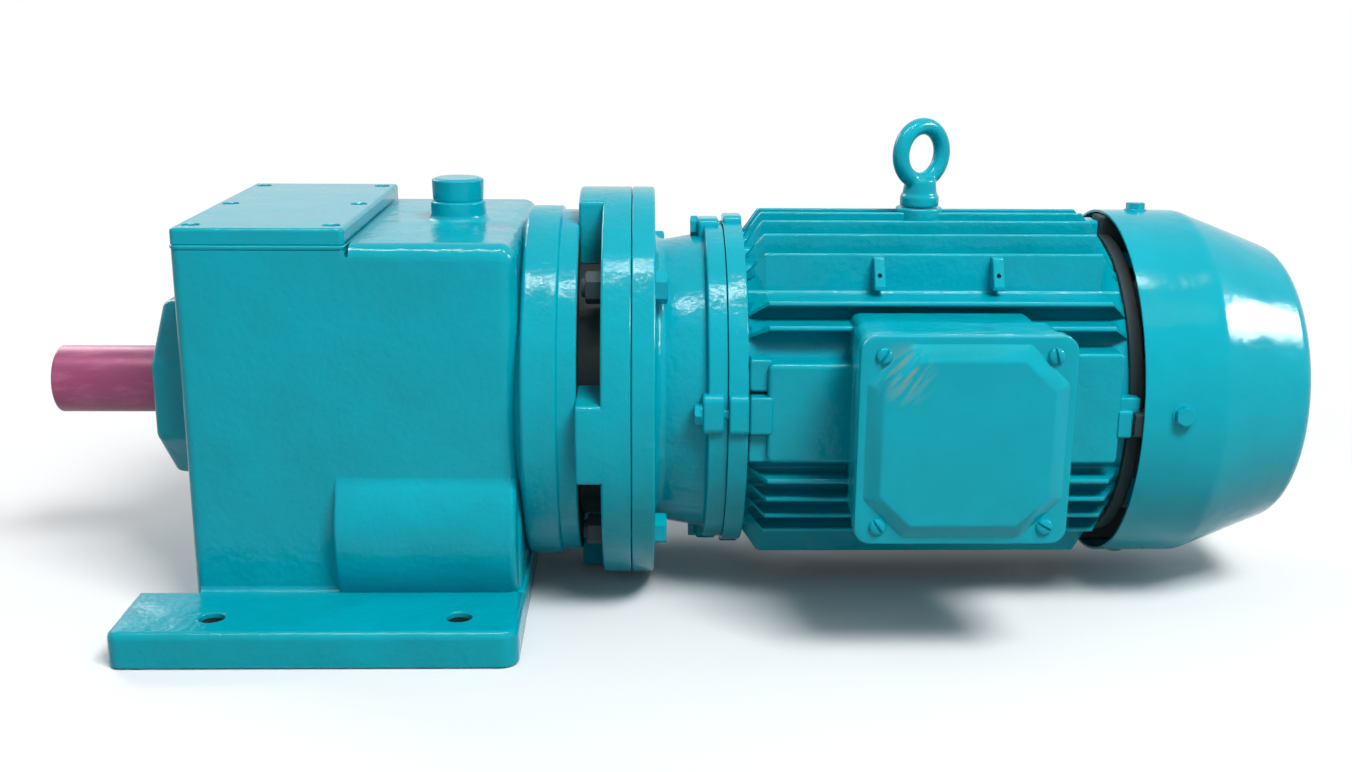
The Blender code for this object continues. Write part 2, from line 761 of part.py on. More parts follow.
def layshaft_bulge():
    edge = HOUSING_EDGE_RADIUS / 2
    profile = (
        (BULGE_FRONT, 0),
        (BULGE_FRONT, BULGE_RADIUS - edge),
        (BULGE_FRONT + edge, BULGE_RADIUS),
        (BULGE_REAR, BULGE_RADIUS),
        (BULGE_REAR, 0),
    )
    return turned("layshaft_bulge", profile, line=BULGE_CENTRE)


def housing_neck():
    """The neck and flange as one turned shell, with the input bearings' hub standing inside it."""
    start = REAR_WALL_FRONT + 5 * BODY_JOG
    root = HOUSING_REAR - HOUSING_WALL * 0.3
    spigot = FLANGE_FACE - FLANGE_SPIGOT_DEPTH - CLEARANCE
    rear_bearing, width, _, outer = INPUT_REAR_BEARING
    seat = outer + CLEARANCE
    land = rear_bearing + width + CLEARANCE
    profile = (
        (start, seat),
        (start, INPUT_HUB_RADIUS),
        (root, INPUT_HUB_RADIUS),
        (root, NECK_RADIUS - NECK_ROOT_STEP),
        (HOUSING_REAR - HOUSING_EDGE_RADIUS, NECK_RADIUS - NECK_SHOULDER_STEP),
        (HOUSING_REAR + HOUSING_EDGE_RADIUS / 2, NECK_RADIUS),
        (NECK_RING_END, NECK_RADIUS),
        (NECK_RING_END + BODY_JOG * 3, NECK_STEP_RADIUS),
        (NECK_END - BODY_JOG, NECK_STEP_RADIUS),
        (NECK_END, FLANGE_RADIUS),
        (FLANGE_FACE, FLANGE_RADIUS),
        (FLANGE_FACE, FLANGE_SPIGOT_RADIUS + CLEARANCE),
        (spigot, FLANGE_SPIGOT_RADIUS + CLEARANCE),
        (spigot, FLANGE_BORE),
        (NECK_FLOOR, FLANGE_BORE),
        (NECK_FLOOR, INPUT_HUB_RADIUS),
        (INPUT_HUB_END, INPUT_HUB_RADIUS),
        (INPUT_HUB_END, INPUT_SEAL_RADIUS + CLEARANCE),
        (land, INPUT_SEAL_RADIUS + CLEARANCE),
        (land, seat),
    )
    neck = turned("housing_neck", profile)
    for i, turn in enumerate(QUARTERS):
        cut(neck, about_shaft(pocket(f"flange_pocket_{i}"), turn))
    holes = [
        ((POCKET_END - HOUSING_WALL / 2, y, z), (FLANGE_FACE + HOUSING_WALL / 2, y, z))
        for y, z in ring_points(FLANGE_BOLT_RADIUS, DIAGONALS, SHAFT_LINE)
    ]
    cut(neck, rods("flange_bolt_holes", M16[0] + HOLE_ALLOWANCE, holes))
    return neck


def rear_wall_hole():
    """Opens the rear wall where the neck's bearing hub comes through."""
    radius = INPUT_REAR_BEARING[3] + HOUSING_WALL / 4
    past = HOUSING_WALL / 2
    span = [((REAR_WALL_FRONT - past, *SHAFT_LINE), (HOUSING_REAR + past, *SHAFT_LINE))]
    return rods("rear_wall_hole", radius, span, SHAFT_STEPS)


def pocket(name):
    """One of the four pockets behind the flange, where the nuts of its bolts sit."""
    edge = math.asin(RIB_HALF_WIDTH / POCKET_FLOOR_RADIUS)
    floor = ring_points(POCKET_FLOOR_RADIUS, even_angles(4, edge, math.pi / 2 - 2 * edge, closed=False))
    out = 2 * FLANGE_RADIUS
    corners = [(-out, RIB_HALF_WIDTH), (-out, out), (-RIB_HALF_WIDTH, out)]
    return outline(name, [floor + corners], NECK_END, POCKET_END, SHAFT_LINE)


def housing_chambers():
    """Cutters for the two oil chambers, the wheel well in the bulge and the cover opening."""
    half = HOUSING_HALF_WIDTH - HOUSING_WALL
    ceiling = COVER_SEAT - HOUSING_WALL
    front = block(
        "front_chamber",
        (HOUSING_FRONT + FRONT_WALL, -half, OIL_FLOOR),
        (WEB_FRONT, half, ceiling),
    )
    rear = block("rear_chamber", (WEB_REAR, -half, OIL_FLOOR), (REAR_WALL_FRONT, half, ceiling))
    well = turned(
        "wheel_well",
        (
            (WHEEL_WELL_FRONT, 0),
            (WHEEL_WELL_FRONT, WHEEL_WELL_RADIUS),
            (REAR_WALL_FRONT - BODY_JOG, WHEEL_WELL_RADIUS),
            (REAR_WALL_FRONT - BODY_JOG, 0),
        ),
        line=LAYSHAFT_LINE,
    )
    opening = block(
        "cover_opening",
        (OPENING_FRONT, -OPENING_HALF_WIDTH, ceiling - HOUSING_WALL),
        (OPENING_REAR, OPENING_HALF_WIDTH, COVER_SEAT + HOUSING_WALL),
        upright,
        HOUSING_EDGE_RADIUS,
    )
    return front, rear, well, opening


def output_bores():
    """The stepped bore in the boss, from its recess to the front chamber, and the bore of the inner web."""
    front, _, _, outer = OUTPUT_FRONT_BEARING
    seat = outer + CLEARANCE
    shoulder = front - CLEARANCE
    profile = (
        (BOSS_FACE - BOSS_DRAFT, 0),
        (BOSS_FACE - BOSS_DRAFT, BOSS_RECESS_RADIUS),
        (OUTPUT_SEAL_X - CLEARANCE, BOSS_RECESS_RADIUS),
        (OUTPUT_SEAL_X - CLEARANCE, OUTPUT_SEAL_RADIUS + CLEARANCE),
        (OUTPUT_SEAL_X + OUTPUT_SEAL_WIDTH + CLEARANCE, OUTPUT_SEAL_RADIUS + CLEARANCE),
        (OUTPUT_SEAL_X + OUTPUT_SEAL_WIDTH + CLEARANCE, OUTPUT_COLLAR_RADIUS + CLEARANCE),
        (shoulder - CLEARANCE, OUTPUT_COLLAR_RADIUS + CLEARANCE),
        (shoulder, seat),
        (LAYSHAFT_BOSS_REAR + CLEARANCE * 4, seat),
        (LAYSHAFT_BOSS_REAR + CLEARANCE * 4, 0),
    )
    web_seat = OUTPUT_REAR_BEARING[3] + CLEARANCE
    web_front, web_rear = WEB_FRONT - BODY_JOG, WEB_REAR + BODY_JOG
    web = ((web_front, 0), (web_front, web_seat), (web_rear, web_seat), (web_rear, 0))
    return (
        turned("output_front_bore", profile, steps=SHAFT_STEPS),
        turned("output_web_bore", web, steps=SHAFT_STEPS),
    )


def layshaft_bores():
    front, width, _, outer = LAYSHAFT_FRONT_BEARING
    seat = outer + CLEARANCE
    rear = LAYSHAFT_REAR_BEARING[0] + width + CLEARANCE
    inside = REAR_WALL_FRONT - HOUSING_WALL / 2
    pockets = (
        (
            (front - CLEARANCE, 0),
            (front - CLEARANCE, seat),
            (LAYSHAFT_BOSS_REAR + CLEARANCE * 3, seat),
            (LAYSHAFT_BOSS_REAR + CLEARANCE * 3, 0),
        ),
        ((inside, 0), (inside, seat), (rear, seat), (rear, 0)),
    )
    web_front, web_rear = WEB_FRONT - BODY_JOG, WEB_REAR + BODY_JOG
    passage = (
        (web_front, 0),
        (web_front, LAYSHAFT_PASSAGE_RADIUS),
        (web_rear, LAYSHAFT_PASSAGE_RADIUS),
        (web_rear, 0),
    )
    return (
        turned("layshaft_front_bore", pockets[0], line=LAYSHAFT_LINE, steps=SHAFT_STEPS),
        turned("layshaft_rear_bore", pockets[1], line=LAYSHAFT_LINE, steps=SHAFT_STEPS),
        turned("layshaft_passage", passage, line=LAYSHAFT_LINE, steps=SHAFT_STEPS),
    )


def housing_holes():
    below, above = -FOOT_THICKNESS, 2 * FOOT_THICKNESS
    feet = [
        ((x, y, below), (x, y, above))
        for x in (-FOOT_HOLE_X, FOOT_HOLE_X)
        for y in (-FOOT_HOLE_Y, FOOT_HOLE_Y)
    ]
    cover = [
        ((x, y, COVER_SEAT - HOUSING_WALL * 0.9), (x, y, COVER_SEAT + HOUSING_WALL))
        for x in COVER_SCREW_X
        for y in COVER_SCREW_Y
    ]
    plugs = [
        ((OIL_PLUG_X, HOUSING_HALF_WIDTH - HOUSING_WALL * 1.5, z), (OIL_PLUG_X, HOUSING_HALF_WIDTH * 1.1, z))
        for z in OIL_PLUG_HEIGHTS
    ]
    breather = [((BREATHER_X, 0, COVER_SEAT - HOUSING_WALL * 1.5), (BREATHER_X, 0, BREATHER_BOSS_TOP * 1.1))]
    return (
        rods("foot_holes", FOOT_HOLE_RADIUS, feet),
        rods("cover_screw_holes", M8 + CLEARANCE, cover, HOLE_STEPS),
        rods("oil_plug_holes", OIL_PLUG_THREAD_RADIUS + CLEARANCE, plugs),
        rods("breather_hole", BREATHER_THREAD_RADIUS + CLEARANCE, breather),
    )


def gear_housing():
    body = housing_body()
    cut(body, *housing_chambers(), rear_wall_hole())
    boss = rods(
        "layshaft_boss",
        LAYSHAFT_BOSS_RADIUS,
        [((HOUSING_FRONT + FRONT_WALL / 2, *LAYSHAFT_LINE), (LAYSHAFT_BOSS_REAR, *LAYSHAFT_LINE))],
        SHAFT_STEPS,
    )
    breather = rods(
        "breather_boss",
        BREATHER_BOSS_RADIUS,
        [((BREATHER_X, 0, HOUSING_TOP - HOUSING_WALL / 2), (BREATHER_X, 0, BREATHER_BOSS_TOP))],
        SHAFT_STEPS,
    )
    join(body, boss, breather)
    cut(body, *output_bores(), *layshaft_bores(), *housing_holes())
    join(body, housing_neck())
    return body


def inspection_cover():
    low = COVER_SEAT + GASKET_THICKNESS + 2 * CLEARANCE
    plate = block(
        "inspection_cover",
        (COVER_FRONT, -COVER_HALF_WIDTH, low),
        (COVER_REAR, COVER_HALF_WIDTH, low + COVER_THICKNESS),
        upright_or_top,
        COVER_EDGE_RADIUS,
    )
    places = [(x, y) for x in COVER_SCREW_X for y in COVER_SCREW_Y]
    past = low + 2 * COVER_THICKNESS
    holes = [((x, y, COVER_SEAT), (x, y, past)) for x, y in places]
    cut(plate, rods("cover_holes", M8 + HOLE_ALLOWANCE / 2, holes, HOLE_STEPS))
    return plate


def cover_gasket():
    low = COVER_SEAT + CLEARANCE
    inset = COVER_EDGE_RADIUS
    front, rear = COVER_FRONT + inset, COVER_REAR - inset
    half = COVER_HALF_WIDTH - inset
    sheet = block("cover_gasket", (front, -half, low), (rear, half, low + GASKET_THICKNESS))
    window = block(
        "gasket_window",
        (OPENING_FRONT, -OPENING_HALF_WIDTH, low - HOUSING_WALL),
        (OPENING_REAR, OPENING_HALF_WIDTH, low + HOUSING_WALL),
    )
    holes = [
        ((x, y, low - GASKET_THICKNESS), (x, y, low + 2 * GASKET_THICKNESS))
        for x in COVER_SCREW_X
        for y in COVER_SCREW_Y
    ]
    cut(sheet, window, rods("gasket_holes", M8 + HOLE_ALLOWANCE / 2, holes, HOLE_STEPS))
    return sheet


def breather_plug():
    seat = BREATHER_BOSS_TOP + CLEARANCE
    profile_heights = (
        (seat - HOUSING_WALL, BREATHER_THREAD_RADIUS, False),
        (seat, BREATHER_THREAD_RADIUS, False),
    )
    bm = bmesh.new()
    sections = [(height - seat, radius, kind) for height, radius, kind in profile_heights]
    cap = BREATHER_CAP_TOP - seat
    sections += [
        (0, BREATHER_CAP_RADIUS, False),
        (cap * 0.88, BREATHER_CAP_RADIUS, False),
        (cap, BREATHER_CAP_RADIUS * 0.88, False),
    ]
    add_stack(bm, sections, (BREATHER_X, 0, seat), (0, 0, 1))
    return add("breather_plug", bm)


def oil_plug(name, height):
    foot = (OIL_PLUG_X, HOUSING_HALF_WIDTH - BODY_JOG + CLEARANCE, height)
    size = (OIL_PLUG_THREAD_RADIUS, OIL_PLUG_HEAD_RADIUS, OIL_PLUG_HEAD_RADIUS * 0.6)
    return hex_bolt(name, size, HOUSING_WALL * 0.7, foot, (0, 1, 0))


def key_block(name, front, length, width, low, height, line=SHAFT_LINE, grow=0.0):
    """A parallel key or, grown by the clearance, its keyway, on the +Z side of a shaft line."""
    y, z = line
    return block(
        name,
        (front - grow, y - width / 2 - grow, z + low - grow),
        (front + length + grow, y + width / 2 + grow, z + low + height + grow),
    )


def shaft_key_block(name, grow=0.0):
    front = OUTPUT_END + (OUTPUT_EXTENSION - SHAFT_KEY_LENGTH) / 2
    low = OUTPUT_RADIUS - SHAFT_KEY_DEPTH
    key = key_block(name, front, SHAFT_KEY_LENGTH, SHAFT_KEY_WIDTH, low, SHAFT_KEY_HEIGHT, grow=grow)
    return about_shaft(key, SHAFT_KEY_TURN)


def output_gear_key_block(name, grow=0.0):
    margin = SECOND_GEAR_WIDTH * 0.08
    length = SECOND_GEAR_WIDTH - 2 * margin
    low = OUTPUT_WHEEL_SEAT - WHEEL_KEY_DEPTH
    return key_block(name, SECOND_GEAR_X + margin, length, WHEEL_KEY_WIDTH, low, WHEEL_KEY_HEIGHT, grow=grow)


def first_gear_key_block(name, grow=0.0):
    margin = FIRST_GEAR_WIDTH * 0.1
    length = FIRST_GEAR_WIDTH - 2 * margin
    width, height, depth = WHEEL_KEY_WIDTH * 0.75, WHEEL_KEY_HEIGHT * 0.8, WHEEL_KEY_DEPTH * 0.8
    low = LAYSHAFT_WHEEL_SEAT - depth
    return key_block(name, FIRST_GEAR_X + margin, length, width, low, height, LAYSHAFT_LINE, grow)


def output_shaft():
    front, width, _, _ = OUTPUT_FRONT_BEARING
    collar = front + width + CLEARANCE
    wheel = SECOND_GEAR_X - CLEARANCE
    wheel_end = SECOND_GEAR_X + SECOND_GEAR_WIDTH - 4 * CLEARANCE
    chamfer = OUTPUT_RADIUS * 0.08
    profile = (
        (OUTPUT_END + OUTPUT_CENTRE_DEPTH, 0),
        (OUTPUT_END + OUTPUT_CENTRE_DEPTH * 0.9, OUTPUT_CENTRE_HOLE),
        (OUTPUT_END + chamfer, OUTPUT_CENTRE_HOLE),
        (OUTPUT_END, OUTPUT_CENTRE_HOLE + chamfer),
        (OUTPUT_END, OUTPUT_RADIUS - chamfer),
        (OUTPUT_END + chamfer, OUTPUT_RADIUS),
        (OUTPUT_END + OUTPUT_EXTENSION, OUTPUT_RADIUS),
        (OUTPUT_END + OUTPUT_EXTENSION, OUTPUT_FRONT_SEAT),
        (collar, OUTPUT_FRONT_SEAT),
        (collar, OUTPUT_COLLAR_RADIUS),
        (wheel, OUTPUT_COLLAR_RADIUS),
        (wheel, OUTPUT_WHEEL_SEAT),
        (wheel_end, OUTPUT_WHEEL_SEAT),
        (wheel_end, OUTPUT_REAR_SEAT),
        (OUTPUT_SHAFT_REAR, OUTPUT_REAR_SEAT),
        (OUTPUT_SHAFT_REAR, 0),
    )
    shaft = turned("output_shaft", profile, steps=SHAFT_STEPS)
    cut(shaft, shaft_key_block("shaft_keyway", CLEARANCE), output_gear_key_block("wheel_keyway", CLEARANCE))
    return shaft


def shaft_key():
    return shaft_key_block("shaft_key")


def output_gear_key():
    return output_gear_key_block("output_gear_key")


def first_stage_gear_key():
    return first_gear_key_block("first_stage_gear_key")


def bore_cutter(name, front, width, radius, line):
    past = width / 4
    start, end = front - past, front + width + past
    profile = ((start, 0), (start, radius), (end, radius), (end, 0))
    return turned(name, profile, line=line, steps=SHAFT_STEPS)


def output_gear():
    _, sizes = second_stage_sizes()
    to_layshaft, half_tooth = mesh_phases(SECOND_WHEEL_TEETH)
    wheel = helical_gear(
        "output_gear",
        SECOND_WHEEL_TEETH,
        sizes,
        -1,
        to_layshaft + half_tooth,
        SECOND_GEAR_X,
        SECOND_GEAR_WIDTH,
        SHAFT_LINE,
        2,
        1,
    )
    front, width = SECOND_GEAR_X, SECOND_GEAR_WIDTH
    cut(wheel, bore_cutter("output_gear_bore", front, width, OUTPUT_WHEEL_SEAT + CLEARANCE, SHAFT_LINE))
    cut(wheel, output_gear_key_slot("output_gear_slot", front, width))
    return wheel


def output_gear_key_slot(name, front, width):
    low = OUTPUT_WHEEL_SEAT - WHEEL_KEY_DEPTH
    slot = key_block(
        name, front - width / 4, width * 1.5, WHEEL_KEY_WIDTH, low, WHEEL_KEY_HEIGHT, SHAFT_LINE, CLEARANCE
    )
    return slot


def first_stage_gear():
    _, sizes = first_stage_sizes()
    to_layshaft, half_tooth = mesh_phases(FIRST_WHEEL_TEETH)
    front, width = FIRST_GEAR_X, FIRST_GEAR_WIDTH
    wheel = helical_gear(
        "first_stage_gear",
        FIRST_WHEEL_TEETH,
        sizes,
        1,
        to_layshaft + math.pi + half_tooth,
        front,
        width,
        LAYSHAFT_LINE,
        2,
        1,
    )
    cut(wheel, bore_cutter("first_gear_bore", front, width, LAYSHAFT_WHEEL_SEAT + CLEARANCE, LAYSHAFT_LINE))
    key_width, height = WHEEL_KEY_WIDTH * 0.75, WHEEL_KEY_HEIGHT * 0.8
    low = LAYSHAFT_WHEEL_SEAT - WHEEL_KEY_DEPTH * 0.8
    slot = key_block(
        "first_gear_slot", front - width / 4, width * 1.5, key_width, low, height, LAYSHAFT_LINE, CLEARANCE
    )
    cut(wheel, slot)
    return wheel


def layshaft():
    """The intermediate shaft with the second stage's pinion cut on it."""
    front, width, seat, _ = LAYSHAFT_FRONT_BEARING
    rear_front, rear_width, _, _ = LAYSHAFT_REAR_BEARING
    body = front + width + CLEARANCE
    pinion_end = SECOND_GEAR_X + SECOND_GEAR_WIDTH
    wheel_front = FIRST_GEAR_X - CLEARANCE
    wheel_end = FIRST_GEAR_X + FIRST_GEAR_WIDTH - 4 * CLEARANCE
    end = rear_front + rear_width
    profile = (
        (front, 0),
        (front, seat),
        (body, seat),
        (body, LAYSHAFT_RADIUS),
        (pinion_end, LAYSHAFT_RADIUS),
        (pinion_end + CLEARANCE, LAYSHAFT_BODY_RADIUS),
        (wheel_front, LAYSHAFT_BODY_RADIUS),
        (wheel_front, LAYSHAFT_WHEEL_SEAT),
        (wheel_end, LAYSHAFT_WHEEL_SEAT),
        (wheel_end, seat),
        (end, seat),
        (end, 0),
    )
    shaft = turned("intermediate_pinion_shaft", profile, line=LAYSHAFT_LINE, steps=SHAFT_STEPS)
    sizes, _ = second_stage_sizes()
    to_layshaft, _ = mesh_phases(SECOND_WHEEL_TEETH)
    pinion = helical_gear(
        "second_stage_pinion",
        SECOND_PINION_TEETH,
        sizes,
        1,
        to_layshaft + math.pi,
        SECOND_GEAR_X,
        SECOND_GEAR_WIDTH,
        LAYSHAFT_LINE,
        2,
        3,
    )
    join(shaft, pinion)
    cut(shaft, first_gear_key_block("layshaft_keyway", CLEARANCE))
    return shaft


def input_pinion_shaft():
    sizes, _ = first_stage_sizes()
    to_layshaft, _ = mesh_phases(FIRST_WHEEL_TEETH)
    front, _, seat, _ = INPUT_FRONT_BEARING
    start, width, _, _ = INPUT_REAR_BEARING
    pinion_end = FIRST_GEAR_X + FIRST_GEAR_WIDTH
    neck = sizes["root"] - CLEARANCE * 2
    shoulder = front - CLEARANCE
    seal = start + width + CLEARANCE
    coupling = INPUT_SEAL_X + INPUT_SEAL_WIDTH + CLEARANCE
    profile = (
        (INPUT_PINION_STUB, 0),
        (INPUT_PINION_STUB, neck),
        (pinion_end + CLEARANCE, neck),
        (shoulder - INPUT_SHOULDER_RADIUS / 5, INPUT_SHOULDER_RADIUS),
        (shoulder, INPUT_SHOULDER_RADIUS),
        (shoulder, seat),
        (seal, seat),
        (seal, INPUT_SEAL_SEAT),
        (coupling, INPUT_SEAL_SEAT),
        (coupling, INPUT_COUPLING_SEAT),
        (INPUT_SHAFT_REAR, INPUT_COUPLING_SEAT),
        (INPUT_SHAFT_REAR, 0),
    )
    shaft = turned("input_pinion_shaft", profile, steps=SHAFT_STEPS)
    pinion = helical_gear(
        "first_stage_pinion",
        FIRST_PINION_TEETH,
        sizes,
        -1,
        to_layshaft,
        FIRST_GEAR_X,
        FIRST_GEAR_WIDTH,
        SHAFT_LINE,
        2,
        2,
    )
    join(shaft, pinion)
    return shaft


def outer_ring(name, bearing, line=SHAFT_LINE):
    front, width, bore, outer = bearing
    race = outer - (outer - bore) * RING_SHARE
    return turned(name, sleeve(front, front + width, race, outer), line=line, steps=SHAFT_STEPS)


def inner_ring(name, bearing, line=SHAFT_LINE):
    """A bearing's inner ring with its balls, which run just clear of the outer ring."""
    front, width, bore, outer = bearing
    thickness = (outer - bore) * RING_SHARE
    race = bore + thickness
    ring = turned(name, sleeve(front, front + width, bore + CLEARANCE, race), line=line, steps=SHAFT_STEPS)
    reach = (outer - thickness) * math.cos(math.pi / SHAFT_STEPS) - CLEARANCE
    radius = (reach - race + BALL_SEAT) / 2
    bm = bmesh.new()
    for y, z in ring_points(reach - radius, even_angles(BALL_COUNT), line):
        place = Matrix.Translation((front + width / 2, y, z)) @ Matrix.Rotation(math.pi / 2, 4, "Y")
        bmesh.ops.create_uvsphere(bm, u_segments=6, v_segments=4, radius=radius, matrix=place)
    join(ring, add(f"{name}_balls", bm))
    return ring


def sleeve(front, rear, inner, outer):
    return ((front, inner), (front, outer), (rear, outer), (rear, inner))


def output_sleeve():
    front = SECOND_GEAR_X + SECOND_GEAR_WIDTH + CLEARANCE
    rear = OUTPUT_REAR_BEARING[0] - CLEARANCE
    inner = OUTPUT_REAR_SEAT + CLEARANCE
    profile = sleeve(front, rear, inner, OUTPUT_WHEEL_SEAT + CLEARANCE * 10)
    return turned("output_spacer_sleeve", profile, steps=SHAFT_STEPS)


def layshaft_sleeve():
    front = FIRST_GEAR_X + FIRST_GEAR_WIDTH + CLEARANCE
    rear = LAYSHAFT_REAR_BEARING[0] - CLEARANCE
    inner = LAYSHAFT_REAR_BEARING[2] + CLEARANCE
    profile = sleeve(front, rear, inner, LAYSHAFT_WHEEL_SEAT + CLEARANCE * 6)
    return turned("intermediate_spacer_sleeve", profile, line=LAYSHAFT_LINE, steps=SHAFT_STEPS)


def input_sleeve():
    front = INPUT_FRONT_BEARING[0] + INPUT_FRONT_BEARING[1] + CLEARANCE
    rear = INPUT_REAR_BEARING[0] - CLEARANCE
    profile = sleeve(front, rear, INPUT_SEAT + CLEARANCE, INPUT_SHOULDER_RADIUS)
    return turned("input_spacer_sleeve", profile, steps=SHAFT_STEPS)


def output_oil_seal():
    rear = OUTPUT_SEAL_X + OUTPUT_SEAL_WIDTH
    profile = sleeve(OUTPUT_SEAL_X, rear, running_bore(OUTPUT_FRONT_SEAT), OUTPUT_SEAL_RADIUS)
    return turned("output_oil_seal", profile, steps=SHAFT_STEPS)


def input_oil_seal():
    rear = INPUT_SEAL_X + INPUT_SEAL_WIDTH
    profile = sleeve(INPUT_SEAL_X, rear, running_bore(INPUT_SEAL_SEAT), INPUT_SEAL_RADIUS)
    return turned("input_oil_seal", profile, steps=SHAFT_STEPS)


def sector(inner, outer, centre, half_angle, line=SHAFT_LINE):
    """(y, z) outline of a ring sector."""
    arc = even_angles(3, centre - half_angle, 2 * half_angle, closed=False)
    return ring_points(outer, arc, line) + ring_points(inner, reversed(arc), line)


def coupling_hub(name, front, rear, bore, jaws_front, first_jaw):
    """A coupling half: a bored drum with three jaws on the face towards the other half."""
    jaws_rear = jaws_front + COUPLING_JAW_LENGTH
    hub = turned(name, sleeve(front, rear, bore, COUPLING_RADIUS), steps=SHAFT_STEPS)
    half_angle = math.pi / 6 - COUPLING_ARM_HALF_ANGLE - CLEARANCE / COUPLING_JAW_INNER
    overlap = COUPLING_JAW_LENGTH / 4
    for i in range(3):
        centre = first_jaw + 2 * math.pi * i / 3
        loop = sector(COUPLING_JAW_INNER, COUPLING_RADIUS - CLEARANCE, centre, half_angle, (0.0, 0.0))
        low = jaws_front - (overlap if jaws_front >= rear else 0)
        high = jaws_rear + (overlap if jaws_front < front else 0)
        join(hub, outline(f"{name}_jaw_{i}", [loop], low, high, SHAFT_LINE))
    return hub


def gearbox_coupling_hub():
    bore = INPUT_COUPLING_SEAT + CLEARANCE
    root = COUPLING_JAW_ROOT
    return coupling_hub("gearbox_coupling_hub", COUPLING_FRONT, root, bore, root, 0.0)


def motor_coupling_hub():
    front = COUPLING_JAW_ROOT + COUPLING_JAW_GAP
    bore = MOTOR_EXTENSION_RADIUS + CLEARANCE
    jaws = front - COUPLING_JAW_LENGTH
    return coupling_hub("motor_coupling_hub", front, COUPLING_REAR, bore, jaws, math.pi / 3)


def coupling_spider():
    """The elastic star: six arms that sit between the jaws of both halves."""
    arms = []
    for i in range(6):
        centre = math.pi / 6 + math.pi * i / 3
        arc = COUPLING_ARM_HALF_ANGLE
        arms += ring_points(SPIDER_HUB, [centre - arc])
        arms += ring_points(COUPLING_RADIUS - 2 * CLEARANCE, [centre - arc, centre + arc])
        arms += ring_points(SPIDER_HUB, [centre + arc])
    hole = ring_points(SPIDER_HOLE, even_angles(SMALL_STEPS))
    front = COUPLING_JAW_ROOT + CLEARANCE
    rear = COUPLING_JAW_ROOT + COUPLING_JAW_GAP - CLEARANCE
    return outline("coupling_spider", [arms, hole], front, rear, SHAFT_LINE)


def lugs(name, front, rear, bottom, top, half_width):
    """Four blocks round the shaft line, at 12, 3, 6 and 9 o'clock."""
    pieces = []
    for i, turn in enumerate(QUARTERS):
        low = (front, -half_width, SHAFT_HEIGHT + bottom)
        high = (rear, half_width, SHAFT_HEIGHT + top)
        pieces.append(about_shaft(block(f"{name}_{i}", low, high), turn))
    return pieces


def motor_adapter():
    spigot = FLANGE_FACE - FLANGE_SPIGOT_DEPTH
    face = FLANGE_FACE + CLEARANCE
    fillet = (ADAPTER_RING_FRONT - ADAPTER_PLATE_END) / 4
    profile = (
        (spigot, ADAPTER_BORE),
        (spigot, FLANGE_SPIGOT_RADIUS),
        (face, FLANGE_SPIGOT_RADIUS),
        (face, FLANGE_RADIUS),
        (ADAPTER_PLATE_END, FLANGE_RADIUS),
        (ADAPTER_PLATE_END, ADAPTER_CONE_FRONT_RADIUS + fillet / 2),
        (ADAPTER_PLATE_END + fillet, ADAPTER_CONE_FRONT_RADIUS),
        (ADAPTER_RING_FRONT, ADAPTER_CONE_REAR_RADIUS),
        (ADAPTER_RING_FRONT + CLEARANCE * 4, ADAPTER_RING_RADIUS),
        (ADAPTER_END, ADAPTER_RING_RADIUS),
        (ADAPTER_END, MOTOR_SPIGOT_RADIUS + CLEARANCE),
        (ADAPTER_END - MOTOR_SPIGOT_DEPTH - CLEARANCE, MOTOR_SPIGOT_RADIUS + CLEARANCE),
        (ADAPTER_END - MOTOR_SPIGOT_DEPTH - CLEARANCE, ADAPTER_BORE),
    )
    body = turned("motor_adapter", profile)
    join(body, *lugs("adapter_lug", LUG_FRONT, LUG_REAR, LUG_BOTTOM, LUG_TOP, LUG_HALF_WIDTH))
    flange = [
        ((FLANGE_FACE - HOUSING_WALL, y, z), (ADAPTER_PLATE_END + HOUSING_WALL / 2, y, z))
        for y, z in ring_points(FLANGE_BOLT_RADIUS, DIAGONALS, SHAFT_LINE)
    ]
    cut(body, rods("adapter_flange_holes", M16[0] + HOLE_ALLOWANCE, flange))
    motor = [
        ((LUG_FRONT - HOUSING_WALL, y, z), (ADAPTER_END + HOUSING_WALL, y, z))
        for y, z in ring_points(LUG_BOLT_RADIUS, QUARTERS, SHAFT_LINE)
    ]
    cut(body, rods("adapter_lug_holes", M10 + HOLE_ALLOWANCE / 2, motor, HOLE_STEPS))
    return body


def flange_bolt(name, turn):
    y, z = ring_points(FLANGE_BOLT_RADIUS, [turn], SHAFT_LINE)[0]
    length = ADAPTER_PLATE_END - POCKET_END + M16[2] * 1.6
    return hex_bolt(name, M16, length, (ADAPTER_PLATE_END, y, z), (1, 0, 0))


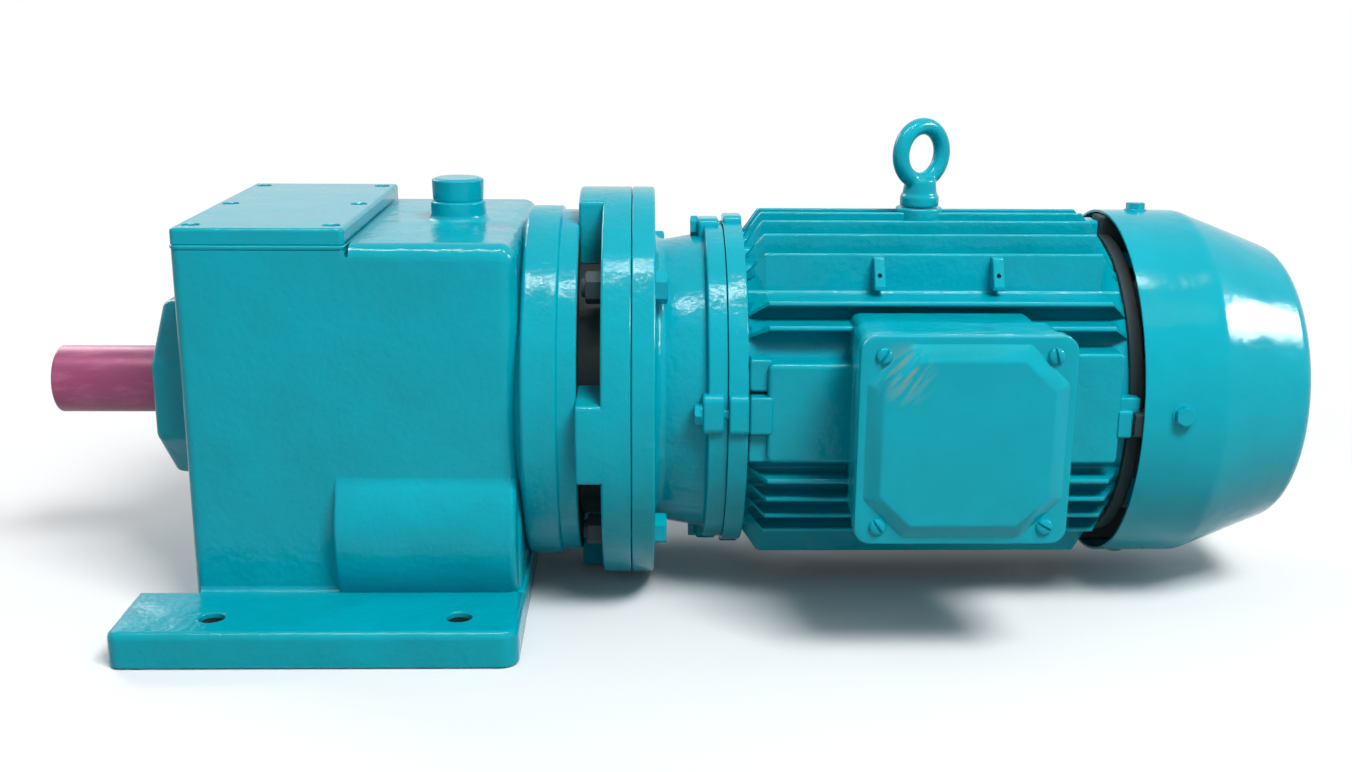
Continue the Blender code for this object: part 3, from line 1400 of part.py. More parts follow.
def drive_end_shield():
    front, width, _, outer = DRIVE_BEARING
    face = ADAPTER_END + CLEARANCE
    spigot_front = ADAPTER_END - MOTOR_SPIGOT_DEPTH
    spigot_rear = FRAME_FRONT + SPIGOT_LENGTH
    hub_rear = front + width + HUB_MARGIN
    seat = outer + CLEARANCE
    fit = FRAME_BORE - CLEARANCE
    wall = DRIVE_SHIELD_WALL
    profile = (
        (spigot_front, SHIELD_LAND_RADIUS),
        (spigot_front, MOTOR_SPIGOT_RADIUS),
        (face, MOTOR_SPIGOT_RADIUS),
        (face, SHIELD_RADIUS),
        (FRAME_FRONT, SHIELD_RADIUS),
        (FRAME_FRONT, fit),
        (spigot_rear, fit),
        (spigot_rear, fit - wall),
        (spigot_front + 1.5 * wall, seat + wall),
        (hub_rear, seat + wall),
        (hub_rear, seat),
        (front - CLEARANCE, seat),
        (front - CLEARANCE, SHIELD_LAND_RADIUS),
    )
    shield = turned("drive_end_shield", profile)
    front_of_lug, rear_of_lug = ADAPTER_END + 2 * CLEARANCE, FRAME_FRONT - CLEARANCE
    join(shield, *lugs("shield_lug", front_of_lug, rear_of_lug, LUG_BOTTOM, LUG_TOP, LUG_HALF_WIDTH))
    holes = [
        ((LUG_FRONT, y, z), (FRAME_FRONT - SHIELD_HOLE_FLOOR, y, z))
        for y, z in ring_points(LUG_BOLT_RADIUS, QUARTERS, SHAFT_LINE)
    ]
    cut(shield, rods("shield_lug_holes", M10 + CLEARANCE, holes, HOLE_STEPS))
    return shield


def fin_outline():
    """(y, z) outline of the finned frame, its fins upright above and below and level at the sides."""
    half = FIN_HALF_THICKNESS
    fins = []
    for side, count in (("up", UPPER_FINS), ("down", LOWER_FINS)):
        fins += [(side, VERTICAL_FIN_PITCH * (i - (count - 1) / 2)) for i in range(count)]
    for side, kept in (("near", NEAR_SIDE_FINS), ("far", FAR_SIDE_FINS)):
        fins += [(side, SIDE_FIN_TOP - SIDE_FIN_PITCH * i) for i in kept]

    def corner(side, offset, radius):
        reach = math.sqrt(radius**2 - offset**2)
        places = {
            "up": (offset, reach),
            "down": (offset, -reach),
            "near": (-reach, offset),
            "far": (reach, offset),
        }
        return places[side]

    quads = []
    for side, offset in fins:
        first, second = offset - half, offset + half
        if side in ("up", "near"):
            first, second = second, first
        root_in = corner(side, first, FRAME_SHELL_RADIUS)
        tip_in = corner(side, first, FIN_TIP_RADIUS)
        tip_out = corner(side, second, FIN_TIP_RADIUS)
        root_out = corner(side, second, FRAME_SHELL_RADIUS)
        quads.append((angle_of(root_in), angle_of(root_out), [root_in, tip_in, tip_out, root_out]))
    quads.sort(key=lambda quad: quad[0] % (2 * math.pi))
    points = []
    widest = 2 * math.pi / LARGE_STEPS * 1.6
    for (_, end, quad), (start, _, _) in zip(quads, quads[1:] + quads[:1]):
        points += quad
        gap = (start - end) % (2 * math.pi)
        fill = int(gap / widest)
        angles = [end + gap * (k + 1) / (fill + 1) for k in range(fill)]
        points += ring_points(FRAME_SHELL_RADIUS, angles)
    return points


def angle_of(point):
    """Angle of a (y, z) point from +Z towards -Y."""
    return math.atan2(-point[0], point[1])


def fin_envelope():
    """The turned shape that slopes both ends of the fins."""
    low, high = FRAME_SHELL_RADIUS + CLEARANCE * 3, FIN_TIP_RADIUS * 1.06
    slope = FIN_SLOPE * (high - low) / (FIN_TIP_RADIUS - low)
    profile = (
        (FRAME_FRONT + CLEARANCE, 0),
        (FRAME_FRONT + CLEARANCE, low),
        (FRAME_FRONT + CLEARANCE + slope, high),
        (FRAME_REAR - slope, high),
        (FRAME_REAR, low),
        (FRAME_REAR, 0),
    )
    return turned("fin_envelope", profile)


def motor_frame():
    past = FIN_SLOPE
    frame = outline("motor_frame", [fin_outline()], FRAME_FRONT - past, FRAME_REAR + past, SHAFT_LINE)
    boolean(frame, fin_envelope(), "INTERSECT")
    join(frame, *frame_bosses())
    bore = FRAME_BORE
    front, rear = FRAME_FRONT - past, FRAME_REAR + past
    cut(frame, turned("frame_bore", ((front, 0), (front, bore), (rear, bore), (rear, 0))))
    cut(frame, *frame_holes())
    return frame


def frame_bosses():
    """Terminal-box pad, side pads, bar at the shield's lug, eye-bolt boss, rear lugs and fin lugs."""
    start, end = FRAME_FRONT + CLEARANCE, FRAME_REAR
    inner = FRAME_BORE * 0.9
    low, high = FRAME_CENTRE - BOX_PAD_HALF, FRAME_CENTRE + BOX_PAD_HALF
    box_low, box_high = BOX_CENTRE_HEIGHT - BOX_PAD_HALF, BOX_CENTRE_HEIGHT + BOX_PAD_HALF
    box_pad = block(
        "box_pad",
        (low, -BOX_SEAT, box_low),
        (high, -inner, box_high),
        along_y,
        BOX_EDGE_RADIUS,
    )
    side_low, side_high = SIDE_PAD_HEIGHTS
    side_pad = block(
        "side_pad",
        (high - BOX_EDGE_RADIUS, -SIDE_PAD_FACE, side_low),
        (end - SIDE_PAD_MARGIN, -inner, side_high),
        front_of_box,
        SIDE_PAD_EDGE_RADIUS,
    )
    front_pad = block(
        "front_pad",
        (start + SMALL_PAD_LENGTH * 0.95, -SIDE_PAD_FACE, side_low),
        (low + BOX_EDGE_RADIUS, -inner, side_high),
        front_of_box,
        SIDE_PAD_EDGE_RADIUS,
    )
    bar_low, bar_high = LUG_BAR_HEIGHTS
    lug_bar = block(
        "lug_bar",
        (start, -LUG_BAR_FACE, bar_low),
        (start + LUG_BAR_LENGTH, -inner, bar_high),
    )
    small_pads = [
        block(
            f"small_pad_{i}",
            (start, -SMALL_PAD_FACE, z),
            (start + SMALL_PAD_LENGTH, -inner, z + SMALL_PAD_HEIGHT),
        )
        for i, z in enumerate(SMALL_PAD_BOTTOMS)
    ]
    rear_lugs = lugs("frame_lug", end - REAR_LUG_LENGTH, end, LUG_BOTTOM, REAR_LUG_TOP, REAR_LUG_HALF_WIDTH)
    eye = rods(
        "eye_boss",
        EYE_BOSS_RADIUS,
        [((FRAME_CENTRE, 0, SHAFT_HEIGHT + inner), (FRAME_CENTRE, 0, EYE_SHOULDER - CLEARANCE))],
        SHAFT_STEPS,
    )
    outer_fin = (UPPER_FINS - 1) / 2 * VERTICAL_FIN_PITCH
    fin_high = SHAFT_HEIGHT + math.sqrt(FIN_TIP_RADIUS**2 - outer_fin**2) - FIN_LUG_DROP
    fin_low = fin_high - FIN_LUG_HEIGHT
    fin_lugs = [
        block(
            f"fin_lug_{i}",
            (FRAME_CENTRE + offset - FIN_LUG_HALF_LENGTH, -outer_fin - FIN_LUG_REACH, fin_low),
            (FRAME_CENTRE + offset + FIN_LUG_HALF_LENGTH, -outer_fin, fin_high),
        )
        for i, offset in enumerate(FIN_LUG_OFFSETS)
    ]
    return [box_pad, side_pad, front_pad, *small_pads, lug_bar, *rear_lugs, eye, *fin_lugs]


def frame_holes():
    bottom = EYE_SHOULDER - EYE_THREAD_LENGTH * 1.1
    eye = rods(
        "eye_thread_hole",
        EYE_THREAD_RADIUS + CLEARANCE,
        [((FRAME_CENTRE, 0, bottom), (FRAME_CENTRE, 0, EYE_SHOULDER + EYE_THREAD_LENGTH))],
    )
    outside, inside = -2 * BOX_SEAT, -FRAME_BORE / 2
    cable = rods(
        "cable_hole",
        CABLE_HOLE_RADIUS,
        [((FRAME_CENTRE, outside, BOX_CENTRE_HEIGHT), (FRAME_CENTRE, inside, BOX_CENTRE_HEIGHT))],
    )
    return eye, cable


def slot_sectors(inner, outer, gap):
    """(y, z) outlines of the stator's slots, each narrowed by a gap on both sides."""
    half = math.pi / STATOR_SLOTS * SLOT_SHARE - gap / inner
    loops = []
    for i in range(STATOR_SLOTS):
        centre = 2 * math.pi * i / STATOR_SLOTS
        arc = [centre - half, centre + half]
        loops.append(ring_points(outer, arc) + ring_points(inner, reversed(arc)))
    return loops


def stator_core():
    core = turned("stator_core", sleeve(CORE_FRONT, CORE_REAR, STATOR_BORE, FRAME_BORE - CLEARANCE))
    past = WINDING_LENGTH / 4
    slots = slot_sectors(SLOT_INNER, SLOT_OUTER, 0.0)
    cut(core, outline("stator_slots", slots, CORE_FRONT - past, CORE_REAR + past, SHAFT_LINE))
    return core


def stator_winding():
    """Bars through the core's slots, joined at each end by a bundle of end turns."""
    inner, outer = SLOT_INNER + CLEARANCE, SLOT_OUTER + 0.010
    front, rear = CORE_FRONT - CLEARANCE, CORE_REAR + CLEARANCE
    ends = (
        sleeve(front - WINDING_LENGTH, front, inner, outer),
        sleeve(rear, rear + WINDING_LENGTH, inner, outer),
    )
    winding = turned("stator_winding", *ends, steps=SHAFT_STEPS)
    bars = slot_sectors(SLOT_INNER + 3 * CLEARANCE, SLOT_OUTER - CLEARANCE, CLEARANCE)
    past = WINDING_LENGTH / 4
    join(winding, outline("winding_bars", bars, CORE_FRONT - past, CORE_REAR + past, SHAFT_LINE))
    return winding


def rotor_core():
    """The laminated core with its cast end rings."""
    outer = STATOR_BORE - AIR_GAP
    bore = MOTOR_COLLAR_RADIUS + CLEARANCE
    ring_outer, ring_inner = outer * 0.96, outer * 0.70
    profile = (
        (CORE_FRONT, bore),
        (CORE_FRONT, ring_inner),
        (CORE_FRONT - ROTOR_RING_LENGTH, ring_inner),
        (CORE_FRONT - ROTOR_RING_LENGTH, ring_outer),
        (CORE_FRONT, ring_outer),
        (CORE_FRONT, outer),
        (CORE_REAR, outer),
        (CORE_REAR, ring_outer),
        (CORE_REAR + ROTOR_RING_LENGTH, ring_outer),
        (CORE_REAR + ROTOR_RING_LENGTH, ring_inner),
        (CORE_REAR, ring_inner),
        (CORE_REAR, bore),
    )
    return turned("rotor_core", profile, steps=SHAFT_STEPS)


def motor_shaft():
    front, width, seat, _ = DRIVE_BEARING
    rear_front, rear_width, _, _ = REAR_BEARING
    fan = rear_front + rear_width + CLEARANCE
    profile = (
        (MOTOR_SHAFT_FRONT, 0),
        (MOTOR_SHAFT_FRONT, MOTOR_EXTENSION_RADIUS),
        (front - CLEARANCE, MOTOR_EXTENSION_RADIUS),
        (front - CLEARANCE, seat),
        (front + width + CLEARANCE, seat),
        (front + width + CLEARANCE, MOTOR_COLLAR_RADIUS),
        (rear_front - CLEARANCE, MOTOR_COLLAR_RADIUS),
        (rear_front - CLEARANCE, seat),
        (fan, seat),
        (fan, FAN_SEAT),
        (MOTOR_SHAFT_REAR, FAN_SEAT),
        (MOTOR_SHAFT_REAR, 0),
    )
    return turned("motor_shaft", profile, steps=SHAFT_STEPS)


def non_drive_end_shield():
    front, width, _, outer = REAR_BEARING
    seat = outer + CLEARANCE
    fit = FRAME_BORE - CLEARANCE
    face = FRAME_REAR + CLEARANCE
    hub_front = front - HUB_MARGIN
    rim_rear = FRAME_REAR + REAR_SHIELD_RIM
    land = front + width + CLEARANCE
    hub_rear = land + HUB_MARGIN * 1.5
    wall = REAR_SHIELD_WALL
    profile = (
        (hub_front, seat),
        (hub_front, seat + wall),
        (face, seat + wall * 1.2),
        (face, fit - wall),
        (FRAME_REAR - SPIGOT_LENGTH, fit - wall),
        (FRAME_REAR - SPIGOT_LENGTH, fit),
        (face, fit),
        (face, REAR_SHIELD_RADIUS),
        (rim_rear, REAR_SHIELD_RADIUS),
        (hub_rear, seat + wall),
        (hub_rear, SHIELD_LAND_RADIUS),
        (land, SHIELD_LAND_RADIUS),
        (land, seat),
    )
    shield = turned("non_drive_end_shield", profile)
    top = COWL_RADIUS - COWL_SHEET - COWL_LUG_GAP
    join(shield, *lugs("cowl_lug", face, COWL_LUG_REAR, LUG_BOTTOM, top, COWL_LUG_HALF_WIDTH))
    return shield


def cooling_fan():
    """A radial fan of hub, disc and straight blades, which suits both ways of turning."""
    front, rear = FAN_FRONT, FAN_FRONT + FAN_LENGTH
    bore = FAN_SEAT + CLEARANCE
    disc = FAN_DISC_THICKNESS
    profile = (
        (front, bore),
        (front, FAN_RADIUS * 0.82),
        (front + disc, FAN_RADIUS * 0.82),
        (front + disc * 1.5, FAN_HUB_RADIUS + disc),
        (rear, FAN_HUB_RADIUS),
        (rear, bore),
    )
    fan = turned("cooling_fan", profile)
    star = []
    for i in range(FAN_BLADES):
        centre = 2 * math.pi * i / FAN_BLADES
        tip = FAN_BLADE_THICKNESS / 2 / FAN_RADIUS
        root = FAN_BLADE_THICKNESS / 2 / (FAN_HUB_RADIUS - disc)
        star += ring_points(FAN_HUB_RADIUS - disc, [centre - root])
        star += ring_points(FAN_RADIUS, [centre - tip, centre + tip])
        star += ring_points(FAN_HUB_RADIUS - disc, [centre + root])
    hole = ring_points((FAN_HUB_RADIUS - disc + bore) / 2, even_angles(SHAFT_STEPS))
    join(fan, outline("fan_blades", [star, hole], front + disc / 2, rear - disc, SHAFT_LINE))
    return fan


def cowl_profile():
    """Open profile of the cowl, from the middle of its end face to the rim."""
    slope = math.atan2(COWL_RADIUS - COWL_END_RADIUS, COWL_END - COWL_SHOULDER)
    centre_x = COWL_END - COWL_EDGE_RADIUS
    centre_r = COWL_END_RADIUS - COWL_EDGE_RADIUS * (1 - math.sin(slope)) / math.cos(slope)
    turn = math.pi / 2 - slope
    arc = [
        (centre_x + COWL_EDGE_RADIUS * math.cos(a), centre_r + COWL_EDGE_RADIUS * math.sin(a))
        for a in even_angles(3, 0, turn, closed=False)
    ]
    return [(COWL_END, 0), *arc, (COWL_SHOULDER, COWL_RADIUS), (COWL_RIM, COWL_RADIUS)]


def fan_cowl():
    bm = bmesh.new()
    verts = [bm.verts.new((radius, 0, x)) for x, radius in cowl_profile()]
    for start, end in zip(verts, verts[1:]):
        bm.edges.new((start, end))
    cowl = add("fan_cowl", bm, (0, *SHAFT_LINE), (0, math.pi / 2, 0))
    screw(cowl, LARGE_STEPS)
    solidify = cowl.modifiers.new("Solidify", "SOLIDIFY")
    solidify.thickness = COWL_SHEET
    solidify.offset = -1
    solidify.use_even_offset = True
    cut(cowl, *grille_slots())
    return cowl


def grille_slots():
    """Rings of arc slots in the cowl's end face, where the fan draws its air."""
    slots = []
    for ring, (inner, outer) in enumerate(GRILLE_RINGS):
        half = math.pi / GRILLE_BARS - GRILLE_BAR_WIDTH / (inner + outer)
        loops = []
        for bar in range(GRILLE_BARS):
            centre = 2 * math.pi * (bar + 0.5) / GRILLE_BARS
            loops.append(sector(inner, outer, centre, half, (0.0, 0.0)))
        start, end = COWL_END - 3 * COWL_SHEET, COWL_END + 2 * COWL_SHEET
        slots.append(outline(f"grille_ring_{ring}", loops, start, end, SHAFT_LINE))
    return slots


def eye_bolt():
    """A lifting eye bolt: ring, shoulder and threaded shank."""
    wire = (EYE_OUTER_RADIUS - EYE_HOLE_RADIUS) / 2
    sections = (
        (-EYE_THREAD_LENGTH, EYE_THREAD_RADIUS, False),
        (0, EYE_THREAD_RADIUS, False),
        (0, EYE_COLLAR_RADIUS, False),
        (EYE_COLLAR_HEIGHT * 0.8, EYE_COLLAR_RADIUS, False),
        (EYE_COLLAR_HEIGHT, EYE_COLLAR_RADIUS * 0.8, False),
        (EYE_CENTRE_HEIGHT - EYE_HOLE_RADIUS - wire * 1.2, wire * 1.35, False),
    )
    bm = bmesh.new()
    add_stack(bm, sections, (0, 0, 0), (0, 0, 1))
    bolt = add("eye_bolt", bm, (FRAME_CENTRE, 0, EYE_SHOULDER), (0, 0, EYE_TURN))
    bm = bmesh.new()
    circle = []
    for i in range(HOLE_STEPS):
        angle = 2 * math.pi * i / HOLE_STEPS
        reach = EYE_HOLE_RADIUS + wire + wire * math.cos(angle)
        circle.append(bm.verts.new((reach, 0, wire * math.sin(angle))))
    for start, end in zip(circle, circle[1:] + circle[:1]):
        bm.edges.new((end, start))
    centre = (FRAME_CENTRE, 0, EYE_SHOULDER + EYE_CENTRE_HEIGHT)
    ring = add("eye_ring", bm, centre, (math.pi / 2, 0, EYE_TURN))
    screw(ring, SHAFT_STEPS)
    join(bolt, ring)
    return bolt


def box_corner(sign_x, sign_z, half_x, half_z):
    return FRAME_CENTRE + sign_x * half_x, BOX_CENTRE_HEIGHT + sign_z * half_z


def lid_screw_places():
    half_x, half_z = LID_SCREW_SPACING
    return [box_corner(i, j, half_x, half_z) for i in (-1, 1) for j in (-1, 1)]


def terminal_box():
    seat = BOX_SEAT + CLEARANCE
    low_x, low_z = box_corner(-1, -1, BOX_HALF, BOX_HALF)
    high_x, high_z = box_corner(1, 1, BOX_HALF, BOX_HALF)
    box = block(
        "terminal_box",
        (low_x, -BOX_RIM, low_z),
        (high_x, -seat, high_z),
        along_y,
        BOX_EDGE_RADIUS,
    )
    hollow = block(
        "box_hollow",
        (low_x + BOX_WALL, -2 * BOX_RIM, low_z + BOX_WALL),
        (high_x - BOX_WALL, -seat - BOX_WALL, high_z - BOX_WALL),
        along_y,
        BOX_EDGE_RADIUS * 0.6,
    )
    cut(box, hollow)
    root = -seat - BOX_WALL / 2
    posts = [((x, root, z), (x, -BOX_RIM + CLEARANCE, z)) for x, z in lid_screw_places()]
    stand = board_back() + CLEARANCE
    stands = [
        ((x, root, BOX_CENTRE_HEIGHT), (x, stand, BOX_CENTRE_HEIGHT))
        for x in (FRAME_CENTRE - BOARD_HALF_X * 0.84, FRAME_CENTRE + BOARD_HALF_X * 0.84)
    ]
    join(box, rods("box_posts", BOX_POST_RADIUS, posts, HOLE_STEPS))
    join(box, rods("board_stands", BOARD_STAND_RADIUS, stands, HOLE_STEPS))
    glands = [
        ((x, gland_y(), low_z - BOX_WALL), (x, gland_y(), low_z + 2 * BOX_WALL))
        for x in (FRAME_CENTRE - GLAND_OFFSET, FRAME_CENTRE + GLAND_OFFSET)
    ]
    outside, inside = -seat + BOX_WALL, -seat - 2 * BOX_WALL
    cable = [((FRAME_CENTRE, outside, BOX_CENTRE_HEIGHT), (FRAME_CENTRE, inside, BOX_CENTRE_HEIGHT))]
    cut(box, rods("gland_holes", GLAND_RADIUS + CLEARANCE, glands))
    cut(box, rods("box_cable_hole", CABLE_HOLE_RADIUS, cable))
    return box


def gland_y():
    return -(BOX_SEAT + BOX_RIM) / 2 - BOX_WALL / 2


def blanking_plug(name, side):
    """A plug in one of the two cable entries."""
    sections = (
        (-2 * BOX_WALL, GLAND_RADIUS, False),
        (CLEARANCE, GLAND_RADIUS, False),
        (CLEARANCE, GLAND_RADIUS * 1.25, True),
        (BOX_WALL, GLAND_RADIUS * 1.25, True),
        (BOX_WALL * 1.2, GLAND_RADIUS * 1.1, False),
    )
    bm = bmesh.new()
    foot = (FRAME_CENTRE + side * GLAND_OFFSET, gland_y(), BOX_CENTRE_HEIGHT - BOX_HALF)
    add_stack(bm, sections, foot, (0, 0, -1))
    return add(name, bm)


def lid_gasket():
    low_x, low_z = box_corner(-1, -1, BOX_HALF - 0.001, BOX_HALF - 0.001)
    high_x, high_z = box_corner(1, 1, BOX_HALF - 0.001, BOX_HALF - 0.001)
    front = -BOX_RIM - CLEARANCE - LID_GASKET_THICKNESS
    rear = -BOX_RIM - CLEARANCE
    sheet = block("lid_gasket", (low_x, front, low_z), (high_x, rear, high_z), along_y, BOX_EDGE_RADIUS)
    width = BOX_WALL + 0.004
    window = block(
        "lid_gasket_window",
        (low_x + width, 2 * front, low_z + width),
        (high_x - width, rear + BOX_WALL, high_z - width),
        along_y,
        BOX_EDGE_RADIUS * 2.2,
    )
    spans = [((x, front - BOX_WALL, z), (x, rear + BOX_WALL, z)) for x, z in lid_screw_places()]
    cut(sheet, window, rods("lid_gasket_holes", M6 + HOLE_ALLOWANCE / 2, spans, HOLE_STEPS))
    return sheet


def lid_back():
    return -BOX_RIM - 2 * CLEARANCE - LID_GASKET_THICKNESS


def terminal_box_lid():
    """The lid: a flat rim and a raised panel with sloped sides and cut corners over the screws."""
    low_x, low_z = box_corner(-1, -1, BOX_HALF, BOX_HALF)
    high_x, high_z = box_corner(1, 1, BOX_HALF, BOX_HALF)
    back = lid_back()
    front = back - LID_THICKNESS
    lid = block(
        "terminal_box_lid",
        (low_x, front, low_z),
        (high_x, back, high_z),
        along_y,
        BOX_EDGE_RADIUS,
    )
    join(lid, lid_panel("lid_panel", front + LID_THICKNESS / 2, front - LID_PANEL_HEIGHT, 0.0))
    inside = front - LID_PANEL_HEIGHT + LID_THICKNESS
    cut(lid, lid_panel("lid_hollow", back + LID_THICKNESS, inside, LID_THICKNESS))
    spans = [((x, front - BOX_WALL, z), (x, back + BOX_WALL, z)) for x, z in lid_screw_places()]
    cut(lid, rods("lid_screw_holes", M6 + HOLE_ALLOWANCE / 2, spans, HOLE_STEPS))
    return lid


def lid_panel(name, back, front, inset):
    """A block with cut corners that narrows towards its front face."""
    half = LID_PANEL_HALF - inset
    corner = LID_PANEL_CORNER
    centre_x, centre_z = box_corner(0, 0, 0, 0)
    octagon = []
    for quarter in range(4):
        for u, v in ((half, half - corner), (half - corner, half)):
            c, s = math.cos(quarter * math.pi / 2), math.sin(quarter * math.pi / 2)
            octagon.append((u * c - v * s, u * s + v * c))
    bm = bmesh.new()
    face = bm.faces.new([bm.verts.new((centre_x + u, back, centre_z + v)) for u, v in octagon])
    top = bmesh.ops.extrude_face_region(bm, geom=[face])
    shrink = (half - LID_PANEL_SLOPE) / half
    for vert in (item for item in top["geom"] if isinstance(item, bmesh.types.BMVert)):
        vert.co.x = centre_x + (vert.co.x - centre_x) * shrink
        vert.co.z = centre_z + (vert.co.z - centre_z) * shrink
        vert.co.y = front
    bmesh.ops.recalc_face_normals(bm, faces=bm.faces)
    return add(name, bm)


def board_back():
    return -BOX_SEAT - 2 * CLEARANCE - BOX_WALL - BOARD_STANDOFF


def stud_places():
    return [
        (FRAME_CENTRE + i * STUD_PITCH, BOX_CENTRE_HEIGHT + j * STUD_ROW)
        for i in (-1, 0, 1)
        for j in (-1, 1)
    ]


def terminal_board():
    back = board_back()
    board = block(
        "terminal_board",
        (FRAME_CENTRE - BOARD_HALF_X, back - BOARD_THICKNESS, BOX_CENTRE_HEIGHT - BOARD_HALF_Z),
        (FRAME_CENTRE + BOARD_HALF_X, back, BOX_CENTRE_HEIGHT + BOARD_HALF_Z),
        along_y,
        BOARD_CORNER_RADIUS,
    )
    front = back - BOARD_THICKNESS
    studs = [((x, front + STUD_RADIUS, z), (x, front - STUD_LENGTH, z)) for x, z in stud_places()]
    join(board, rods("studs", STUD_RADIUS, studs, HOLE_STEPS))
    return board


def finish(piece, colour, roughness, metallic, line=(0.0, 0.0)):
    """Settle a piece's modifiers, move its origin to a line along X, shade it and paint it."""
    mesh = evaluated_mesh(piece)
    to_line = Matrix.Translation((0, *line))
    mesh.transform(to_line.inverted() @ piece.matrix_world)
    piece.modifiers.clear()
    piece.data = mesh
    piece.matrix_world = to_line
    mesh.shade_smooth()
    mesh.set_sharp_from_angle(angle=SHARP_ANGLE)
    material = bpy.data.materials.new(piece.name)
    material.use_nodes = True
    shader = material.node_tree.nodes["Principled BSDF"]
    shader.inputs["Base Color"].default_value = (*colour, 1)
    shader.inputs["Roughness"].default_value = roughness
    shader.inputs["Metallic"].default_value = metallic
    mesh.materials.clear()
    mesh.materials.append(material)


# Sharpest edge that is still shaded smooth
SHARP_ANGLE = math.radians(35)

# Finishes: colour, roughness, metallic
ENAMEL = ((0.003, 0.36, 0.45), 0.25, 0.0)
COATED_STEEL = ((0.20, 0.020, 0.060), 0.45, 0.3)
GROUND_STEEL = ((0.55, 0.56, 0.58), 0.30, 1.0)
GEAR_STEEL = ((0.40, 0.41, 0.43), 0.35, 1.0)
RUBBER = ((0.02, 0.02, 0.02), 0.80, 0.0)
GASKET_PAPER = ((0.10, 0.08, 0.06), 0.90, 0.0)
POLYURETHANE = ((0.50, 0.06, 0.02), 0.50, 0.0)
LAMINATION = ((0.30, 0.31, 0.33), 0.55, 1.0)
COPPER = ((0.55, 0.22, 0.10), 0.45, 0.6)
FAN_PLASTIC = ((0.03, 0.03, 0.03), 0.55, 0.0)
PHENOLIC = ((0.05, 0.03, 0.02), 0.60, 0.0)

BEARINGS = (
    ("output_front_bearing", OUTPUT_FRONT_BEARING, SHAFT_LINE),
    ("output_rear_bearing", OUTPUT_REAR_BEARING, SHAFT_LINE),
    ("intermediate_front_bearing", LAYSHAFT_FRONT_BEARING, LAYSHAFT_LINE),
    ("intermediate_rear_bearing", LAYSHAFT_REAR_BEARING, LAYSHAFT_LINE),
    ("input_front_bearing", INPUT_FRONT_BEARING, SHAFT_LINE),
    ("input_rear_bearing", INPUT_REAR_BEARING, SHAFT_LINE),
    ("motor_drive_end_bearing", DRIVE_BEARING, SHAFT_LINE),
    ("motor_fan_end_bearing", REAR_BEARING, SHAFT_LINE),
)

FIXED_PIECES = (
    (gear_housing, ENAMEL),
    (inspection_cover, ENAMEL),
    (cover_gasket, GASKET_PAPER),
    (breather_plug, ENAMEL),
    (output_oil_seal, RUBBER),
    (input_oil_seal, RUBBER),
    (motor_adapter, ENAMEL),
    (drive_end_shield, ENAMEL),
    (motor_frame, ENAMEL),
    (stator_core, LAMINATION),
    (stator_winding, COPPER),
    (non_drive_end_shield, ENAMEL),
    (fan_cowl, ENAMEL),
    (eye_bolt, ENAMEL),
    (terminal_box, ENAMEL),
    (terminal_box_lid, ENAMEL),
    (lid_gasket, RUBBER),
    (terminal_board, PHENOLIC),
)

TURNING_PIECES = (
    (output_shaft, COATED_STEEL, SHAFT_LINE),
    (shaft_key, GROUND_STEEL, SHAFT_LINE),
    (output_gear, GEAR_STEEL, SHAFT_LINE),
    (output_gear_key, GROUND_STEEL, SHAFT_LINE),
    (output_sleeve, GROUND_STEEL, SHAFT_LINE),
    (layshaft, GEAR_STEEL, LAYSHAFT_LINE),
    (first_stage_gear, GEAR_STEEL, LAYSHAFT_LINE),
    (first_stage_gear_key, GROUND_STEEL, LAYSHAFT_LINE),
    (layshaft_sleeve, GROUND_STEEL, LAYSHAFT_LINE),
    (input_pinion_shaft, GEAR_STEEL, SHAFT_LINE),
    (input_sleeve, GROUND_STEEL, SHAFT_LINE),
    (gearbox_coupling_hub, GEAR_STEEL, SHAFT_LINE),
    (motor_coupling_hub, GEAR_STEEL, SHAFT_LINE),
    (coupling_spider, POLYURETHANE, SHAFT_LINE),
    (rotor_core, LAMINATION, SHAFT_LINE),
    (motor_shaft, GROUND_STEEL, SHAFT_LINE),
    (cooling_fan, FAN_PLASTIC, SHAFT_LINE),
)


def main():
    clear_scene()
    for make, coat in FIXED_PIECES:
        finish(make(), *coat)
    for make, coat, line in TURNING_PIECES:
        finish(make(), *coat, line)
    for name, bearing, line in BEARINGS:
        finish(outer_ring(f"{name}_outer_ring", bearing, line), *GROUND_STEEL, line)
        finish(inner_ring(f"{name}_inner_ring", bearing, line), *GROUND_STEEL, line)
    for name, height in zip(("oil_drain_plug", "oil_level_plug"), OIL_PLUG_HEIGHTS):
        finish(oil_plug(name, height), *ENAMEL)
    for i, turn in enumerate(DIAGONALS):
        finish(flange_bolt(f"flange_bolt_{i + 1}", turn), *ENAMEL)
    for name, side in (("front_blanking_plug", -1), ("rear_blanking_plug", 1)):
        finish(blanking_plug(name, side), *ENAMEL)


if __name__ == "__main__":
    main()
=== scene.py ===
"""Helical gear motor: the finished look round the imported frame.

Metres, in the frame's own axes: the shaft line runs along X at Y = 0, the feet stand on Z = 0,
the output shaft points to -X and the terminal box is on the -Y side.
"""

import json
import math

import bmesh
import bpy
import numpy as np
from bpy.props import FloatProperty, FloatVectorProperty, IntProperty, PointerProperty
from mathutils import Matrix, Vector


